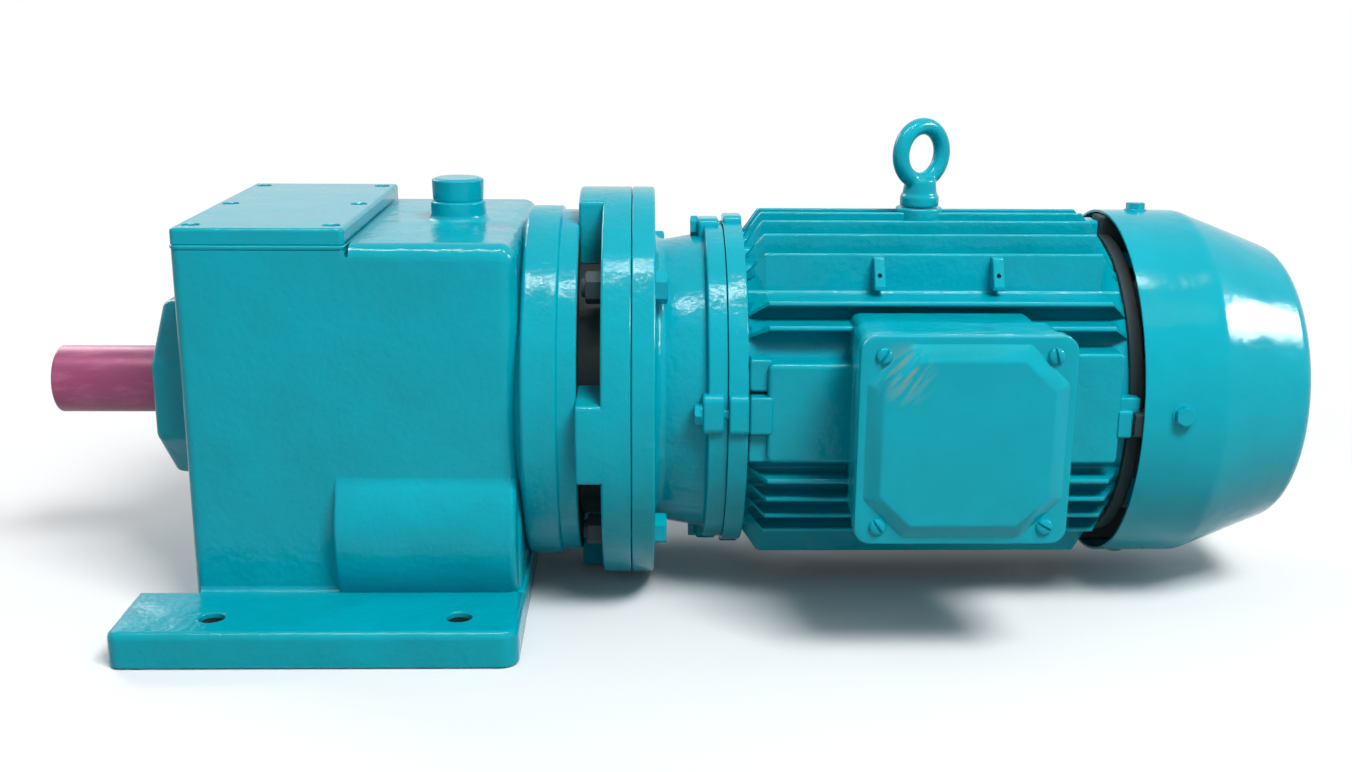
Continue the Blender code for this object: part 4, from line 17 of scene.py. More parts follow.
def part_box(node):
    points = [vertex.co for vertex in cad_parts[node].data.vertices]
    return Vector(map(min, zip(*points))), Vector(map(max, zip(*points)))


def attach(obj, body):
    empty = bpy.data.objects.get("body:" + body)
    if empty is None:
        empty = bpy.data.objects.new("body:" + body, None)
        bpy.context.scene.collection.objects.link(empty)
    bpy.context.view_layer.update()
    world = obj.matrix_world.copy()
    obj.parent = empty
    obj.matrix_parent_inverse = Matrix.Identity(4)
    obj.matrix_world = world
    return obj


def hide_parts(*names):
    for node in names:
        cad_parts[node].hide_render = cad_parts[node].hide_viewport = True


bl_info = {
    "name": "Helical Gear Motor",
    "version": (1, 0, 0),
    "blender": (4, 5, 0),
    "location": "View3D > Sidebar > Gear Motor",
    "description": "Builds the castings, fasteners, finishes and stage of a helical gear motor",
    "category": "Object",
}

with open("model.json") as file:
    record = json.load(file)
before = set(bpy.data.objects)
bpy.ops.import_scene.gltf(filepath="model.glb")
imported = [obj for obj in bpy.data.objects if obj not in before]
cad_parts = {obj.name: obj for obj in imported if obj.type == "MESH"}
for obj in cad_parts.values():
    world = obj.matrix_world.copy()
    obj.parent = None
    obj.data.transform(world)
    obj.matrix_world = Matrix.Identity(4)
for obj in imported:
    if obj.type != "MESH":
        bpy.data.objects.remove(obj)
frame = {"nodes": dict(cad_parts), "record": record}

# Centres and radii that several pieces share, in metres. A centre is (y, z) unless its name says otherwise
SHAFT = (0.0, 0.180)
LAYSHAFT = (-0.083, 0.078)
BULGE_RADIUS = 0.0775
WALL = 0.1414
FOOT_TOP = 0.0308
FOOT_HOLE_X = (-0.100, 0.100)
FOOT_HOLE_Y = 0.195
BREATHER_XY = (0.086, 0.0)
FLANGE_RADIUS = 0.175
FLANGE_BOLT_CIRCLE = 0.150
LUG_BOLT_CIRCLE = 0.1405
SHELL_RADIUS = 0.132
FIN_RADIUS = 0.1564
BARREL_ENDS = (0.3373, 0.6550)
COWL_RADIUS = 0.1559
COWL_BEND = 0.7296
QUARTERS = np.radians((0, 90, 180, 270))
DIAGONALS = np.radians((45, 135, 225, 315))
RIB_TURN = math.radians(4.0)
LUG_TURN = math.radians(-2.8)
COWL_SCREW_TURN = math.radians(-3.7)
FRAME_CENTRE_X = 0.496
BOX_CENTRE_XZ = (0.496, 0.193)
# Shares of a grille slot's half width at which its arc has points
GRILLE_ARC = np.array([-1, -0.6, -0.4, -0.2, 0, 0.2, 0.4, 0.6, 1])
# Lengths below these are taken as none: a division's floor, and the gap at which two points are one
TINY = 1e-12
SAME_POINT = 0.000002
# How far a cutter or a filler reaches into the metal it belongs to
OVERLAP = 0.001


# Surfaces


def rounded(points, radii, closed=True, steps=5):
    """A line with arcs for corners. An arc of radius r leaves each side at r over tan(half the angle)."""
    points = np.asarray(points, float)
    radii = np.broadcast_to(np.asarray(radii, float), len(points)).copy()
    if not closed:
        radii[[0, -1]] = 0
    back = np.roll(points, 1, 0) - points
    ahead = np.roll(points, -1, 0) - points
    back /= np.maximum(np.linalg.norm(back, axis=1, keepdims=True), TINY)
    ahead /= np.maximum(np.linalg.norm(ahead, axis=1, keepdims=True), TINY)
    half = np.arccos(np.clip((back * ahead).sum(1), -1, 1)) / 2
    half = np.clip(half, 1e-6, math.pi / 2 - 1e-6)
    middle = back + ahead
    middle /= np.maximum(np.linalg.norm(middle, axis=1, keepdims=True), TINY)
    centre = points + middle * (radii / np.sin(half))[:, None]
    reach = (radii / np.tan(half))[:, None]
    start, end = points + back * reach - centre, points + ahead * reach - centre
    sweep = (math.pi - 2 * half)[:, None, None]
    t = np.linspace(0, 1, steps + 1)[None, :, None]
    arcs = np.sin((1 - t) * sweep) * start[:, None] + np.sin(t * sweep) * end[:, None]
    arcs = centre[:, None] + arcs / np.sin(sweep)
    return arcs[(radii > 0)[:, None] | (np.arange(steps + 1) == 0)]


def offset(loop, distance):
    """A closed loop moved out: each point goes along its sides' summed normals over 1 plus their product."""
    side = np.roll(loop, -1, 0) - loop
    side /= np.maximum(np.linalg.norm(side, axis=1, keepdims=True), TINY)
    normal = np.stack([side[:, 1], -side[:, 0]], 1)
    before = np.roll(normal, 1, 0)
    return loop + distance * (normal + before) / (1 + (normal * before).sum(1, keepdims=True))


def outline(corners, radii):
    """A convex loop of corners, anticlockwise, each with the radius of its rounding."""
    return np.asarray(corners, float), np.broadcast_to(np.asarray(radii, float), len(corners))


def outline_row(shape, grow, steps):
    """The outline grown by a distance: sides move out by it and roundings gain it, but never turn over."""
    corners, radii = shape
    return rounded(offset(corners, grow), np.where(radii > 0, np.maximum(radii + grow, 1e-6), 0), steps=steps)


def place(u, v, h, axis):
    """World points of plane coordinates u, v at height h: the plane is YZ, XZ or XY for axis X, Y or Z."""
    u, v, h = np.broadcast_arrays(u, v, h)
    return np.stack({"X": (h, u, v), "Y": (u, h, v), "Z": (u, v, h)}[axis], -1)


def grid(points, wrap_rows=False, wrap_columns=True, caps=False):
    """A surface through rows and columns of points, as (points, face arrays). Caps close the end rows."""
    rows, columns = points.shape[:2]
    index = np.arange(rows * columns).reshape(rows, columns)
    ends = [index[:1], index[-1:, ::-1]] if caps else []
    if wrap_rows:
        index = np.vstack([index, index[:1]])
    if wrap_columns:
        index = np.hstack([index, index[:, :1]])
    quads = np.stack([index[:-1, :-1], index[1:, :-1], index[1:, 1:], index[:-1, 1:]], -1)
    return points.reshape(-1, 3), [quads.reshape(-1, 4), *ends]


def loft(shape, profile, axis, steps=6):
    """An outline carried along an axis: at each (offset, height) of a profile it is grown by that offset."""
    rows = [place(*outline_row(shape, grow, steps).T, height, axis) for grow, height in profile]
    return grid(np.stack(rows), caps=True)


def slab(shape, low, high, edge, axis, base=0.0):
    """An outline drawn out from low to high, its far rim rounded by a quarter circle of radius edge."""
    sign = math.copysign(1, high - low)
    a = np.linspace(0, math.pi / 2, 6)
    rim = np.stack([edge * (np.cos(a) - 1), high - sign * edge * (1 - np.sin(a))], 1)
    foot = [(-base, low), (0, low + sign * base)] if base else [(0, low)]
    return loft(shape, [*foot, *rim], axis)


def revolve(profile, centre=SHAFT, steps=128, axis="X", closed=True):
    """(height, radius) points turned about an axis: each becomes a ring (r cos a, r sin a) at its height."""
    profile = np.asarray(profile, float)
    a = np.linspace(0, 2 * math.pi, steps, endpoint=False)
    u = centre[0] + profile[:, 1:] * np.cos(a)
    v = centre[1] + profile[:, 1:] * np.sin(a)
    return grid(place(u, v, profile[:, :1], axis), wrap_rows=closed)


def turned_ring(points, radii, **how):
    """A closed (x, radius) section with rounded corners, revolved."""
    return revolve(rounded(points, radii, steps=4), **how)


def turned_knob(points, radii, **how):
    """An open section from the axis to the axis with rounded corners, revolved."""
    return revolve(rounded(points, radii, closed=False, steps=5), closed=False, **how)


def turn_x(shape, angle):
    """The shape turned about the shaft line, from +Z towards -Y."""
    points, faces = shape
    y, z = points[:, 1] - SHAFT[0], points[:, 2] - SHAFT[1]
    c, s = math.cos(angle), math.sin(angle)
    return np.stack([points[:, 0], SHAFT[0] + y * c - z * s, SHAFT[1] + y * s + z * c], 1), faces


def at_quarters(shape, further=0.0):
    """The shape at the four quarters round the shaft line, all turned further by an angle."""
    return [turn_x(shape, turn + further) for turn in QUARTERS]


def aim(shape, foot, direction):
    """A shape made upright at the origin, stood on foot with its +Z along direction."""
    points, faces = shape
    turn = np.array(Vector(direction).to_track_quat("Z", "Y").to_matrix())
    return points @ turn.T + np.asarray(foot, float), faces


def cove(start, end, first, second, radius, steps=6):
    """The fillet in an inner corner: a bar from start to end whose free side is a concave quarter circle."""
    first, second = np.asarray(first, float), np.asarray(second, float)
    a = np.linspace(0, math.pi / 2, steps + 1)
    arc = radius * np.stack([1 - np.sin(a), 1 - np.cos(a)], 1)
    section = np.vstack([[(-OVERLAP, -OVERLAP), (radius, -OVERLAP)], arc, [(-OVERLAP, radius)]])
    across = section[:, :1] * first + section[:, 1:] * second
    return grid(np.stack([np.asarray(start) + across, np.asarray(end) + across]), caps=True)


def box_outline(low, high, radius):
    """A rectangle with rounded corners."""
    (u0, v0), (u1, v1) = low, high
    return outline([(u0, v0), (u1, v0), (u1, v1), (u0, v1)], radius)


def hexagon_head(across, height, flange=0.0, steps=72):
    """A chamfered hexagon head on the origin: its sides reach half its width over cos(a - nearest flat)."""
    a = np.linspace(0, 2 * math.pi, steps, endpoint=False)
    flat = across / 2
    reach = flat / np.cos((a + math.pi / 6) % (math.pi / 3) - math.pi / 6)
    land = flat * 0.95
    rows = []
    if flange:
        rows += [(flange, 0.0), (flange, height * 0.12), (flange * 0.97, height * 0.18)]
    rows += [(reach, height * 0.2 if flange else 0.0)]
    rows += [(reach, height - (reach - land) * 0.5), (land, height), (land * 0.9, height)]
    points = [np.stack(np.broadcast_arrays(r * np.cos(a), r * np.sin(a), h), -1) for r, h in rows]
    return grid(np.stack(points), caps=True)


def driven_head(radius, height, drive, depth, reach, steps=(22, 96)):
    """A domed screw head as a height over a disc: a dome less a straight slot or a hexagon socket."""
    r = np.linspace(0, 1, steps[0])[:, None] ** 0.8 * radius
    a = np.linspace(0, 2 * math.pi, steps[1], endpoint=False)
    dome = height * (1 - 0.35 * (r / radius) ** 2) * np.sqrt(np.maximum(0, 1 - (r / radius) ** 10))
    if drive == "slot":
        from_edge = reach - np.abs(r * np.cos(a))
    else:
        from_edge = reach - r * np.cos((a + math.pi / 6) % (math.pi / 3) - math.pi / 6)
    sunk = depth * np.clip(from_edge / (0.12 * radius) + 0.5, 0, 1)
    top = np.maximum(dome - sunk, -0.0004)
    points = np.stack(np.broadcast_arrays(r * np.cos(a), r * np.sin(a), top), -1)
    skirt = points[-1:].copy()
    skirt[..., 2] = -0.002
    return grid(np.concatenate([points, skirt]), caps=True)


# Pieces


def mesh_object(name, shapes):
    """One mesh object from several closed shapes: doubles merged and faces turned outwards."""
    points, faces, start = [], [], 0
    for shape_points, shape_faces in shapes:
        points.append(shape_points)
        for group in shape_faces:
            faces += (group + start).tolist()
        start += len(shape_points)
    mesh = bpy.data.meshes.new(name)
    mesh.from_pydata(np.concatenate(points).tolist(), [], faces)
    bm = bmesh.new()
    bm.from_mesh(mesh)
    bmesh.ops.remove_doubles(bm, verts=bm.verts, dist=SAME_POINT)
    bmesh.ops.dissolve_degenerate(bm, edges=bm.edges, dist=SAME_POINT)
    bmesh.ops.recalc_face_normals(bm, faces=bm.faces)
    bm.to_mesh(mesh)
    bm.free()
    made = bpy.data.objects.new(name, mesh)
    bpy.context.scene.collection.objects.link(made)
    return made


def settle(made):
    """Applies an object's modifiers to its mesh."""
    graph = bpy.context.evaluated_depsgraph_get()
    mesh = bpy.data.meshes.new_from_object(made.evaluated_get(graph))
    made.modifiers.clear()
    made.data = mesh


def carve(made, shapes):
    """Cuts closed shapes out of an object."""
    tool = mesh_object("tool", shapes)
    modifier = made.modifiers.new("Carve", "BOOLEAN")
    modifier.operation = "DIFFERENCE"
    modifier.solver = "EXACT"
    modifier.object = tool
    settle(made)
    bpy.data.objects.remove(tool, do_unlink=True)
    return made


def carved(shapes, tools):
    """The (points, face arrays) of shapes less the tools."""
    made = carve(mesh_object("blank", shapes), tools)
    mesh = made.data
    points = np.empty(len(mesh.vertices) * 3)
    mesh.vertices.foreach_get("co", points)
    corner = np.empty(len(mesh.loops), int)
    mesh.loops.foreach_get("vertex_index", corner)
    first, count = np.empty(len(mesh.polygons), int), np.empty(len(mesh.polygons), int)
    mesh.polygons.foreach_get("loop_start", first)
    mesh.polygons.foreach_get("loop_total", count)
    bpy.data.objects.remove(made, do_unlink=True)
    return points.reshape(-1, 3), [corner[first[count == n, None] + np.arange(n)] for n in np.unique(count)]


def finish(made, make, *nodes, slot="housing_enamel", body="housing", sharp=38):
    """Shades a piece smooth up to its sharp edges, gives it its material and hangs it on its body."""
    made.data.shade_smooth()
    made.data.set_sharp_from_angle(angle=math.radians(sharp))
    normals = made.modifiers.new("Weighted normals", "WEIGHTED_NORMAL")
    normals.keep_sharp = True
    made.data.materials.clear()
    made.data.materials.append(material_of(make))
    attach(made, body)
    if nodes:
        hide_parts(*nodes)


# Materials


def linear(code):
    """An sRGB hex colour as linear red, green and blue."""
    channels = (int(code[i : i + 2], 16) / 255 for i in (1, 3, 5))
    return tuple(c / 12.92 if c <= 0.04045 else ((c + 0.055) / 1.055) ** 2.4 for c in channels)


def node(tree, kind, inputs=None, **settings):
    """Adds a shader node and returns its outputs. An input takes a value or another node's output."""
    made = tree.nodes.new(kind)
    for key, value in settings.items():
        setattr(made, key, value)
    for key, value in (inputs or {}).items():
        if isinstance(value, bpy.types.NodeSocket):
            tree.links.new(value, made.inputs[key])
        else:
            made.inputs[key].default_value = value
    return made.outputs


def new_material(name):
    """An empty material, its node tree and the object's own coordinates, in metres."""
    material = bpy.data.materials.new(name)
    material.use_nodes = True
    material.node_tree.nodes.clear()
    return material, material.node_tree, node(material.node_tree, "ShaderNodeTexCoord")["Object"]


def material_of(make):
    """The material that a function makes, made once and named after the function."""
    return bpy.data.materials.get(make.__name__) or make(make.__name__)


def brushed_enamel(name, grain, grain_depth, wave_depth, rubbed_at=None):
    """Solvent enamel brushed and sprayed over a rough ground.

    The eye sees one full colour with a soft gloss, slow clouds where the coat is thinner, the ground
    swelling through, and here and there a dark speck where the brush missed a hollow. Filler under the
    coat lies in waves. Round rubbed_at the coat is scuffed to a dull grey in short slanting streaks.
    """
    colours = bpy.context.scene.gear_motor_colours
    enamel, thin_enamel, primer, rubbed = (
        (*code, 1) for code in (colours.enamel, colours.enamel_thin, colours.primer, colours.rubbed)
    )
    material, tree, at = new_material(name)
    # The brush's clouds are 60 mm across, specks 6 mm apart, and orange peel 2 mm, coarser than the real 1 mm
    clouds = node(tree, "ShaderNodeTexNoise", {"Vector": at, "Scale": 1 / 0.06, "Detail": 3.0})[0]
    specks = node(
        tree, "ShaderNodeTexNoise", {"Vector": at, "Scale": 1 / 0.006, "Detail": 4.0, "Roughness": 0.65}
    )[0]
    ground = node(tree, "ShaderNodeTexNoise", {"Vector": at, "Scale": 1 / grain, "Detail": 3.0})[0]
    peel = node(tree, "ShaderNodeTexNoise", {"Vector": at, "Scale": 1 / 0.002, "Detail": 0.0})[0]
    thin = node(tree, "ShaderNodeMapRange", {"Value": clouds, "From Min": 0.35, "From Max": 0.7})[0]
    missed = node(
        tree, "ShaderNodeMapRange", {"Value": specks, "From Min": 0.71, "From Max": 0.79, "To Max": 0.7}
    )[0]
    coat = node(tree, "ShaderNodeMix", {0: thin, 6: enamel, 7: thin_enamel}, data_type="RGBA")[2]
    coat = node(tree, "ShaderNodeMix", {0: missed, 6: coat, 7: primer}, data_type="RGBA")[2]
    if rubbed_at:
        far = node(tree, "ShaderNodeVectorMath", {0: at, 1: rubbed_at}, operation="DISTANCE")["Value"]
        reach = {"Value": far, "From Min": 0.006, "From Max": 0.026, "To Min": 1.0, "To Max": 0.0}
        near = node(tree, "ShaderNodeMapRange", reach)[0]
        slant = {"Vector": at, "Rotation": (0, math.radians(40), 0), "Scale": (1.0, 1.0, 7.0)}
        slant = node(tree, "ShaderNodeMapping", slant, vector_type="TEXTURE")[0]
        streaks = node(tree, "ShaderNodeTexNoise", {"Vector": slant, "Scale": 1 / 0.004, "Detail": 3.0})[0]
        bare = node(tree, "ShaderNodeMapRange", {"Value": streaks, "From Min": 0.45, "From Max": 0.6})[0]
        share = node(tree, "ShaderNodeMath", {0: near, 1: bare}, operation="MULTIPLY")[0]
        coat = node(tree, "ShaderNodeMix", {0: share, 6: coat, 7: rubbed}, data_type="RGBA")[2]
    gloss = {"Value": clouds, "From Min": 0.3, "From Max": 0.7, "To Min": 0.11, "To Max": 0.21}
    gloss = node(tree, "ShaderNodeMapRange", gloss)[0]
    waves = node(tree, "ShaderNodeBump", {"Height": clouds, "Distance": wave_depth, "Strength": 0.8})[0]
    swell = {"Height": ground, "Distance": grain_depth, "Strength": 0.7, "Normal": waves}
    swell = node(tree, "ShaderNodeBump", swell)[0]
    relief = node(
        tree, "ShaderNodeBump", {"Height": peel, "Distance": 0.00003, "Strength": 0.5, "Normal": swell}
    )[0]
    surface = {
        "Base Color": coat, "Roughness": gloss, "Normal": relief, "IOR": 1.5, "Specular IOR Level": 0.15
    }
    surface = node(tree, "ShaderNodeBsdfPrincipled", surface)[0]
    node(tree, "ShaderNodeOutputMaterial", {"Surface": surface})
    return material


def enamel_on_sand_casting(name):
    """The castings: sand grain of about 5 mm swells through the coat."""
    return brushed_enamel(name, 0.005, 0.0006, 0.004)


def enamel_on_pressed_steel(name):
    """The cowl: drawn sheet with long shallow waves and no grain."""
    return brushed_enamel(name, 0.022, 0.0007, 0.002)


def scuffed_enamel_on_lid(name):
    """The terminal box lid: pressed sheet, with its upper corner on the gear side scuffed by handling."""
    return brushed_enamel(name, 0.022, 0.0007, 0.002, rubbed_at=(0.446, -0.246, 0.248))


def enamel_on_machined_iron(name):
    """Bolts, screws, plugs and cover: smoother ground with a few tool waves."""
    return brushed_enamel(name, 0.009, 0.0004, 0.001)


def painted_shade_near_black(name):
    """Painted shade: a near black, dull coat with sand grain on the rear shield under the cowl, the flange
    pockets' walls and nuts and the foot hole liners, so that they render as dark as the shade there.
    """
    material, tree, at = new_material(name)
    dark, light = ((*linear(code), 1) for code in ("#0E2226", "#1A363B"))
    grain = node(tree, "ShaderNodeTexNoise", {"Vector": at, "Scale": 1 / 0.004, "Detail": 3.0})[0]
    clouds = node(tree, "ShaderNodeTexNoise", {"Vector": at, "Scale": 1 / 0.03, "Detail": 2.0})[0]
    coat = node(tree, "ShaderNodeMix", {0: clouds, 6: dark, 7: light}, data_type="RGBA")[2]
    relief = node(tree, "ShaderNodeBump", {"Height": grain, "Distance": 0.0004, "Strength": 0.8})[0]
    surface = {"Base Color": coat, "Roughness": 0.7, "Normal": relief, "IOR": 1.5}
    surface = node(tree, "ShaderNodeBsdfPrincipled", surface)[0]
    node(tree, "ShaderNodeOutputMaterial", {"Surface": surface})
    return material


def lacquer_on_ground_steel(name):
    """Maroon rust-proof lacquer brushed on a ground shaft.

    It is thin and half clear, so the eye sees dull pink steel in the rubbed streaks and, through the
    lacquer, the turning marks as fine rings, drawn 1.5 mm apart so that they show.
    """
    colours = bpy.context.scene.gear_motor_colours
    full, thin = (*colours.lacquer, 1), (*colours.lacquer_thin, 1)
    material, tree, at = new_material(name)
    along = node(tree, "ShaderNodeMapping", {"Vector": at, "Scale": (0.35, 1.0, 1.0)})[0]
    streaks = {"Vector": along, "Scale": 1 / 0.012, "Detail": 5.0, "Roughness": 0.7}
    streaks = node(tree, "ShaderNodeTexNoise", streaks)[0]
    round_it = node(tree, "ShaderNodeMapping", {"Vector": at, "Scale": (1.0, 0.02, 0.02)})[0]
    rings = node(tree, "ShaderNodeTexNoise", {"Vector": round_it, "Scale": 1 / 0.0015, "Detail": 2.0})[0]
    rubbed = node(tree, "ShaderNodeMapRange", {"Value": streaks, "From Min": 0.48, "From Max": 0.72})[0]
    coat = node(tree, "ShaderNodeMix", {0: rubbed, 6: full, 7: thin}, data_type="RGBA")[2]
    gloss = node(tree, "ShaderNodeMapRange", {"Value": streaks, "To Min": 0.25, "To Max": 0.5})[0]
    relief = node(tree, "ShaderNodeBump", {"Height": rings, "Distance": 0.0001, "Strength": 0.5})[0]
    surface = {"Base Color": coat, "Metallic": 0.2, "Roughness": gloss, "Normal": relief, "IOR": 1.5}
    surface = node(tree, "ShaderNodeBsdfPrincipled", surface)[0]
    node(tree, "ShaderNodeOutputMaterial", {"Surface": surface})
    return material


def lined_metal(name, codes, stretch, spacing, detail, gloss, depth, strength, **shader):
    """A metal ground, wound or stacked in lines: stretched noise mixes its two tones and breaks its gloss."""
    material, tree, at = new_material(name)
    dark, light = ((*linear(code), 1) for code in codes)
    lines = node(tree, "ShaderNodeMapping", {"Vector": at, "Scale": stretch})[0]
    marks = node(tree, "ShaderNodeTexNoise", {"Vector": lines, "Scale": 1 / spacing, "Detail": detail})[0]
    metal = node(tree, "ShaderNodeMix", {0: marks, 6: dark, 7: light}, data_type="RGBA")[2]
    rough = node(tree, "ShaderNodeMapRange", {"Value": marks, "To Min": gloss[0], "To Max": gloss[1]})[0]
    relief = node(tree, "ShaderNodeBump", {"Height": marks, "Distance": depth, "Strength": strength})[0]
    surface = {"Base Color": metal, "Roughness": rough, "Normal": relief, **shader}
    surface = node(tree, "ShaderNodeBsdfPrincipled", surface)[0]
    node(tree, "ShaderNodeOutputMaterial", {"Surface": surface})
    return material


# Grinding marks run round a shaft, drawn 1.2 mm apart, ten times coarser than real ones, so that they show
GRINDING = {"stretch": (1.0, 0.03, 0.03), "spacing": 0.0012, "detail": 3.0, "depth": 0.00006, "strength": 0.5}


def ground_gear_steel(name):
    """Case-hardened gears and shafts under oil: grey with a soft shine."""
    return lined_metal(name, ("#82858A", "#B4B6B9"), gloss=(0.23, 0.43), Metallic=1.0, **GRINDING)


def polished_bearing_steel(name):
    """Bearing rings and balls: the brightest metal in the machine."""
    return lined_metal(name, ("#A9ACB0", "#D0D2D5"), gloss=(0.10, 0.30), Metallic=1.0, **GRINDING)


def stacked_electrical_sheet(name):
    """A core of punched sheets: dull, bluish steps along the shaft. 0.5 mm sheets are drawn 2 mm apart."""
    across = (1.0, 0.0, 0.0)
    return lined_metal(
        name, ("#55585D", "#8A8D92"), across, 0.002, 0.0, (0.42, 0.65), 0.0002, 0.6, Metallic=1.0
    )


def varnished_copper_wire(name):
    """Drawn copper wire in brown varnish: glossy round strands, 1.2 mm thick and drawn 2.4 mm apart."""
    wound = (1.0, 0.12, 0.12)
    varnish = {"Metallic": 0.5, "IOR": 1.5}
    return lined_metal(name, ("#5E2912", "#C26A30"), wound, 0.0024, 1.0, (0.22, 0.42), 0.0006, 0.8, **varnish)


def moulded(name, codes, grain, roughness, depth=0.00005):
    """A moulded or pressed part: one quiet colour with slow clouds, dulled by the fine grain of its mould."""
    material, tree, at = new_material(name)
    dark, light = ((*linear(code), 1) for code in codes)
    clouds = node(tree, "ShaderNodeTexNoise", {"Vector": at, "Scale": 1 / (12 * grain), "Detail": 3.0})[0]
    fine = node(tree, "ShaderNodeTexNoise", {"Vector": at, "Scale": 1 / grain, "Detail": 2.0})[0]
    mass = node(tree, "ShaderNodeMix", {0: clouds, 6: dark, 7: light}, data_type="RGBA")[2]
    gloss = {"Value": fine, "To Min": roughness - 0.1, "To Max": roughness + 0.1}
    gloss = node(tree, "ShaderNodeMapRange", gloss)[0]
    relief = node(tree, "ShaderNodeBump", {"Height": fine, "Distance": depth, "Strength": 0.6})[0]
    surface = {"Base Color": mass, "Roughness": gloss, "Normal": relief, "IOR": 1.5}
    surface = node(tree, "ShaderNodeBsdfPrincipled", surface)[0]
    node(tree, "ShaderNodeOutputMaterial", {"Surface": surface})
    return material


def moulded_nitrile_rubber(name):
    """Oil seals: matt black."""
    return moulded(name, ("#141414", "#282828"), 0.0008, 0.62)


def pressed_fibre_sheet(name):
    """Gaskets: brown-grey pressed fibres, quite dull."""
    return moulded(name, ("#2C2A24", "#4E4A3D"), 0.0006, 0.80, 0.0001)


def moulded_polyurethane(name):
    """The coupling spider: satin red."""
    return moulded(name, ("#861C10", "#BC3520"), 0.0010, 0.42)


def moulded_phenolic(name):
    """The terminal board: dark brown with a faint shine."""
    return moulded(name, ("#2A1C14", "#463221"), 0.0012, 0.45)


def moulded_polypropylene(name):
    """The cooling fan: black with a satin mould grain."""
    return moulded(name, ("#1A1B1D", "#303236"), 0.0009, 0.50)


# Settings


def size(name, description, default):
    """A length that the user may change, in metres."""
    return FloatProperty(
        name=name, description=description, default=default, min=0.0, unit="LENGTH", precision=4
    )


def colour(name, description, code):
    """A colour that the user may change, given as sRGB hex."""
    return FloatVectorProperty(
        name=name, description=description, subtype="COLOR", size=3, min=0.0, max=1.0, default=linear(code)
    )


class GearMotorSizes(bpy.types.PropertyGroup):
    """Sizes of the finished castings, in metres."""

    rear_edge: size("Rear edge radius", "Rounding of the housing's rear block", 0.014)
    front_edge: size("Front edge radius", "Rounding of the housing's front corners", 0.009)
    foot_edge: size("Foot edge radius", "Rounding of the feet's upper edges", 0.0065)
    foot_corner: size("Foot corner radius", "Rounding of the feet's outer front corners", 0.011)
    root_fillet: size("Root fillet", "Fillet where the body meets the feet", 0.005)
    bulge_fillet: FloatProperty(
        name="Bulge fillet",
        description="Share of the bulge's depth that its fillet fills",
        default=0.85,
        subtype="FACTOR",
    )
    cover_edge: size("Cover edge radius", "Rounding of the inspection cover", 0.0032)
    cover_recess: size("Cover recess radius", "Radius of the recesses over the cover's screws", 0.0075)
    flange_edge: size("Flange edge radius", "Rounding of the flange rims", 0.0026)
    fin_root: size("Fin root fillet", "Fillet at the foot of the frame's fins", 0.0045)
    fin_tip: size("Fin tip radius", "Rounding of the fins' tips", 0.0018)
    fin_slope: size("Fin slope", "Length over which a fin falls to the shell at its ends", 0.017)
    cowl_shoulder: size("Cowl shoulder radius", "Rounding where the cowl starts to narrow", 0.022)
    cowl_end: size("Cowl end radius", "Rounding of the cowl's end", 0.018)
    cowl_sheet: size("Cowl sheet", "Thickness of the cowl's steel sheet", 0.002)
    lid_slope: size("Lid slope", "Width of the slope round the lid's raised panel", 0.012)
    box_corner: size("Box corner radius", "Rounding of the terminal box's corners", 0.013)
    flange_bolt: size("Flange bolt hexagon", "Width across flats of the flange bolts", 0.024)
    lug_bolt: size("Lug bolt hexagon", "Width across flats of the adapter's lug bolts", 0.016)
    cowl_screw: size("Cowl screw hexagon", "Width across flats of the cowl's screws", 0.0145)
    grille_bars: IntProperty(
        name="Grille bars", description="Bars in each ring of the cowl's grille", default=8, min=3
    )


class GearMotorColours(bpy.types.PropertyGroup):
    """Colours of the finishes, as the eye sees them in even light."""

    enamel: colour("Enamel", "Teal enamel at full thickness", "#009EAF")
    enamel_thin: colour("Thin enamel", "Teal enamel where the brush left it thinner", "#00A5B8")
    primer: colour("Primer", "Darker coat that shows in small specks", "#005F6C")
    rubbed: colour("Rubbed enamel", "Greyed coat where the lid is scuffed", "#6E9C98")
    lacquer: colour("Lacquer", "Maroon rust-proof lacquer on the shaft end", "#96426A")
    lacquer_thin: colour("Thin lacquer", "Maroon lacquer where it is rubbed thin", "#AE5C7C")
    floor: colour("Floor", "Pale floor and backdrop", "#F4F5F6")


class GearMotorStage(bpy.types.PropertyGroup):
    """Camera and lamps."""

    lens: FloatProperty(
        name="Lens", description="Focal length for a 36 mm wide sensor", default=39.88, unit="CAMERA"
    )
    key: FloatProperty(
        name="Key",
        description="Power of the large lamp at the upper right, in watts",
        default=88.0,
        unit="POWER",
    )
    window: FloatProperty(
        name="Window",
        description="Power of the window that the cowl mirrors, in watts",
        default=60.0,
        unit="POWER",
    )
    strip: FloatProperty(
        name="Strip",
        description="Power of the strip that the edges mirror, in watts",
        default=60.0,
        unit="POWER",
    )
    back: FloatProperty(
        name="Back", description="Power of the lamp behind the gear end, in watts", default=30.0, unit="POWER"
    )
    sky: FloatProperty(name="Sky", description="Strength of the even light from all round", default=0.30)


# Gear unit


